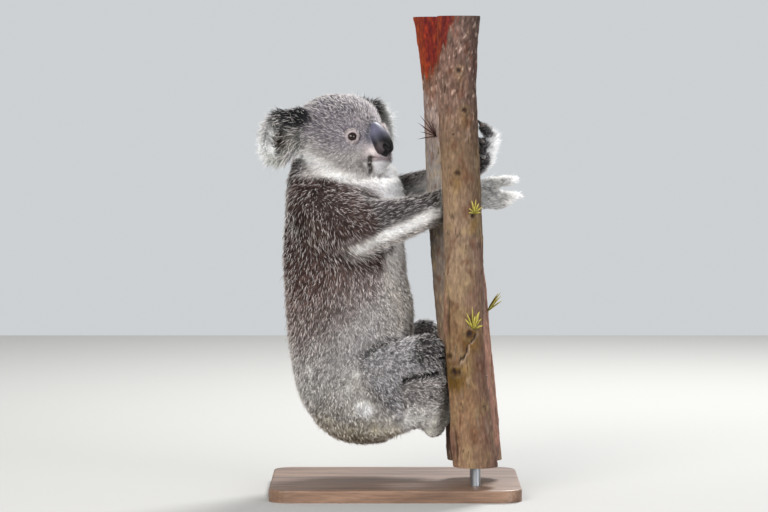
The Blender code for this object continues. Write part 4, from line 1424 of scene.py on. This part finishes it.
# Stand: an oak board, stained and oiled, its 2 mm grain along its length; rods of brushed steel, whose fine
# lines are drawn 0.4 mm apart so that they show.
oakMaterial = texturedMaterial("stainedOak", {"Roughness": 0.5, "Specular IOR Level": 0.4}, [
    (0.3, "#4a3627"), (0.5, "#6a5140"), (0.7, "#7d6350")], {
    "grainMm": 2.38, "detail": 5.0, "stretch": (0.10, 1, 1), "relief": (0.4, 0.4),
    "shades": ((0.72, 0.70, 0.68), (1.15, 1.14, 1.12))})
steelMaterial = texturedMaterial("brushedSteel", {"Roughness": 0.38, "Metallic": 1.0}, [
    (0.3, "#85888b"), (0.7, "#9a9da0")], {
    "grainMm": 0.385, "detail": 2.0, "stretch": (1, 1, 0.06), "shades": (0.85, 1.08), "relief": (0.2, 0.1)})
for name, node in frame["nodes"].items():
    if name.startswith("stand"):
        for materialSlot in node.material_slots:
            materialSlot.material = steelMaterial if "rod" in name else oakMaterial

studio = {
    "floorHalf": 3,  # metres, as are the other places here
    "floor": "#a3a29f",
    "sky": "#e9edf0",
    "skyStrength": 0.75,
    "lights": {  # place, width, power and colour
        "keyLight": ((-1.2, -2.6, 1.3), 1.8, 107, "#fffcf9"),
        "fillLight": ((2.1, -2.2, 0.6), 1.8, 78, "#f8f8ff"),
        "rimLight": ((0.8, 1.9, 2.4), 1.0, 130, "#ffffff"),
    },
    "target": (-0.016, 0, 0.342),
    "cameraDistance": 5.0,
    "cameraElevationDeg": 3.0,
    "cameraLens": 161.6,
}
half, floorHeight = studio["floorHalf"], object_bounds()[0][2]
floorCorners = [(x * half, y * half, floorHeight) for x, y in ((-1, -1), (1, -1), (1, 1), (-1, 1))]
floor = bpy.data.objects.new("floor", makeMesh("floor", floorCorners, [(0, 1, 2, 3)]))
bpy.context.scene.collection.objects.link(floor)
# Painted floor: flat emulsion, even and without gloss.
floorMaterial = newMaterial("paintedFloor", {"Roughness": 0.9, "Base Color": rgba(studio["floor"])})[0]
floor.data.materials.append(floorMaterial)

world = bpy.data.worlds.new("studio")
bpy.context.scene.world = world
world.use_nodes = True
sky = world.node_tree.nodes["Background"]
sky.inputs["Color"].default_value = rgba(studio["sky"])
sky.inputs["Strength"].default_value = studio["skyStrength"]
bpy.context.scene.view_settings.view_transform = "Standard"
target = Vector(studio["target"])
for name, (place, width, power, tint) in studio["lights"].items():
    lamp = bpy.data.lights.new(name, "AREA")
    lamp.energy = power
    lamp.shape = "DISK"
    lamp.size = width
    lamp.color = linear(tint)
    lampObject = bpy.data.objects.new(name, lamp)
    lampObject.location = place
    lampObject.rotation_euler = (target - Vector(place)).to_track_quat("-Z", "Y").to_euler()
    bpy.context.scene.collection.objects.link(lampObject)

camera = bpy.data.objects.new("camera", bpy.data.cameras.new("camera"))
bpy.context.scene.collection.objects.link(camera)
tilt = math.radians(studio["cameraElevationDeg"])
camera.location = target + studio["cameraDistance"] * Vector((0, -math.cos(tilt), math.sin(tilt)))
camera.rotation_euler = (target - camera.location).to_track_quat("-Z", "Y").to_euler()
camera.data.lens = studio["cameraLens"]
camera.data.sensor_width = 36
camera.data.clip_end = 50
bpy.context.scene.camera = camera
print("koala: studio ready")
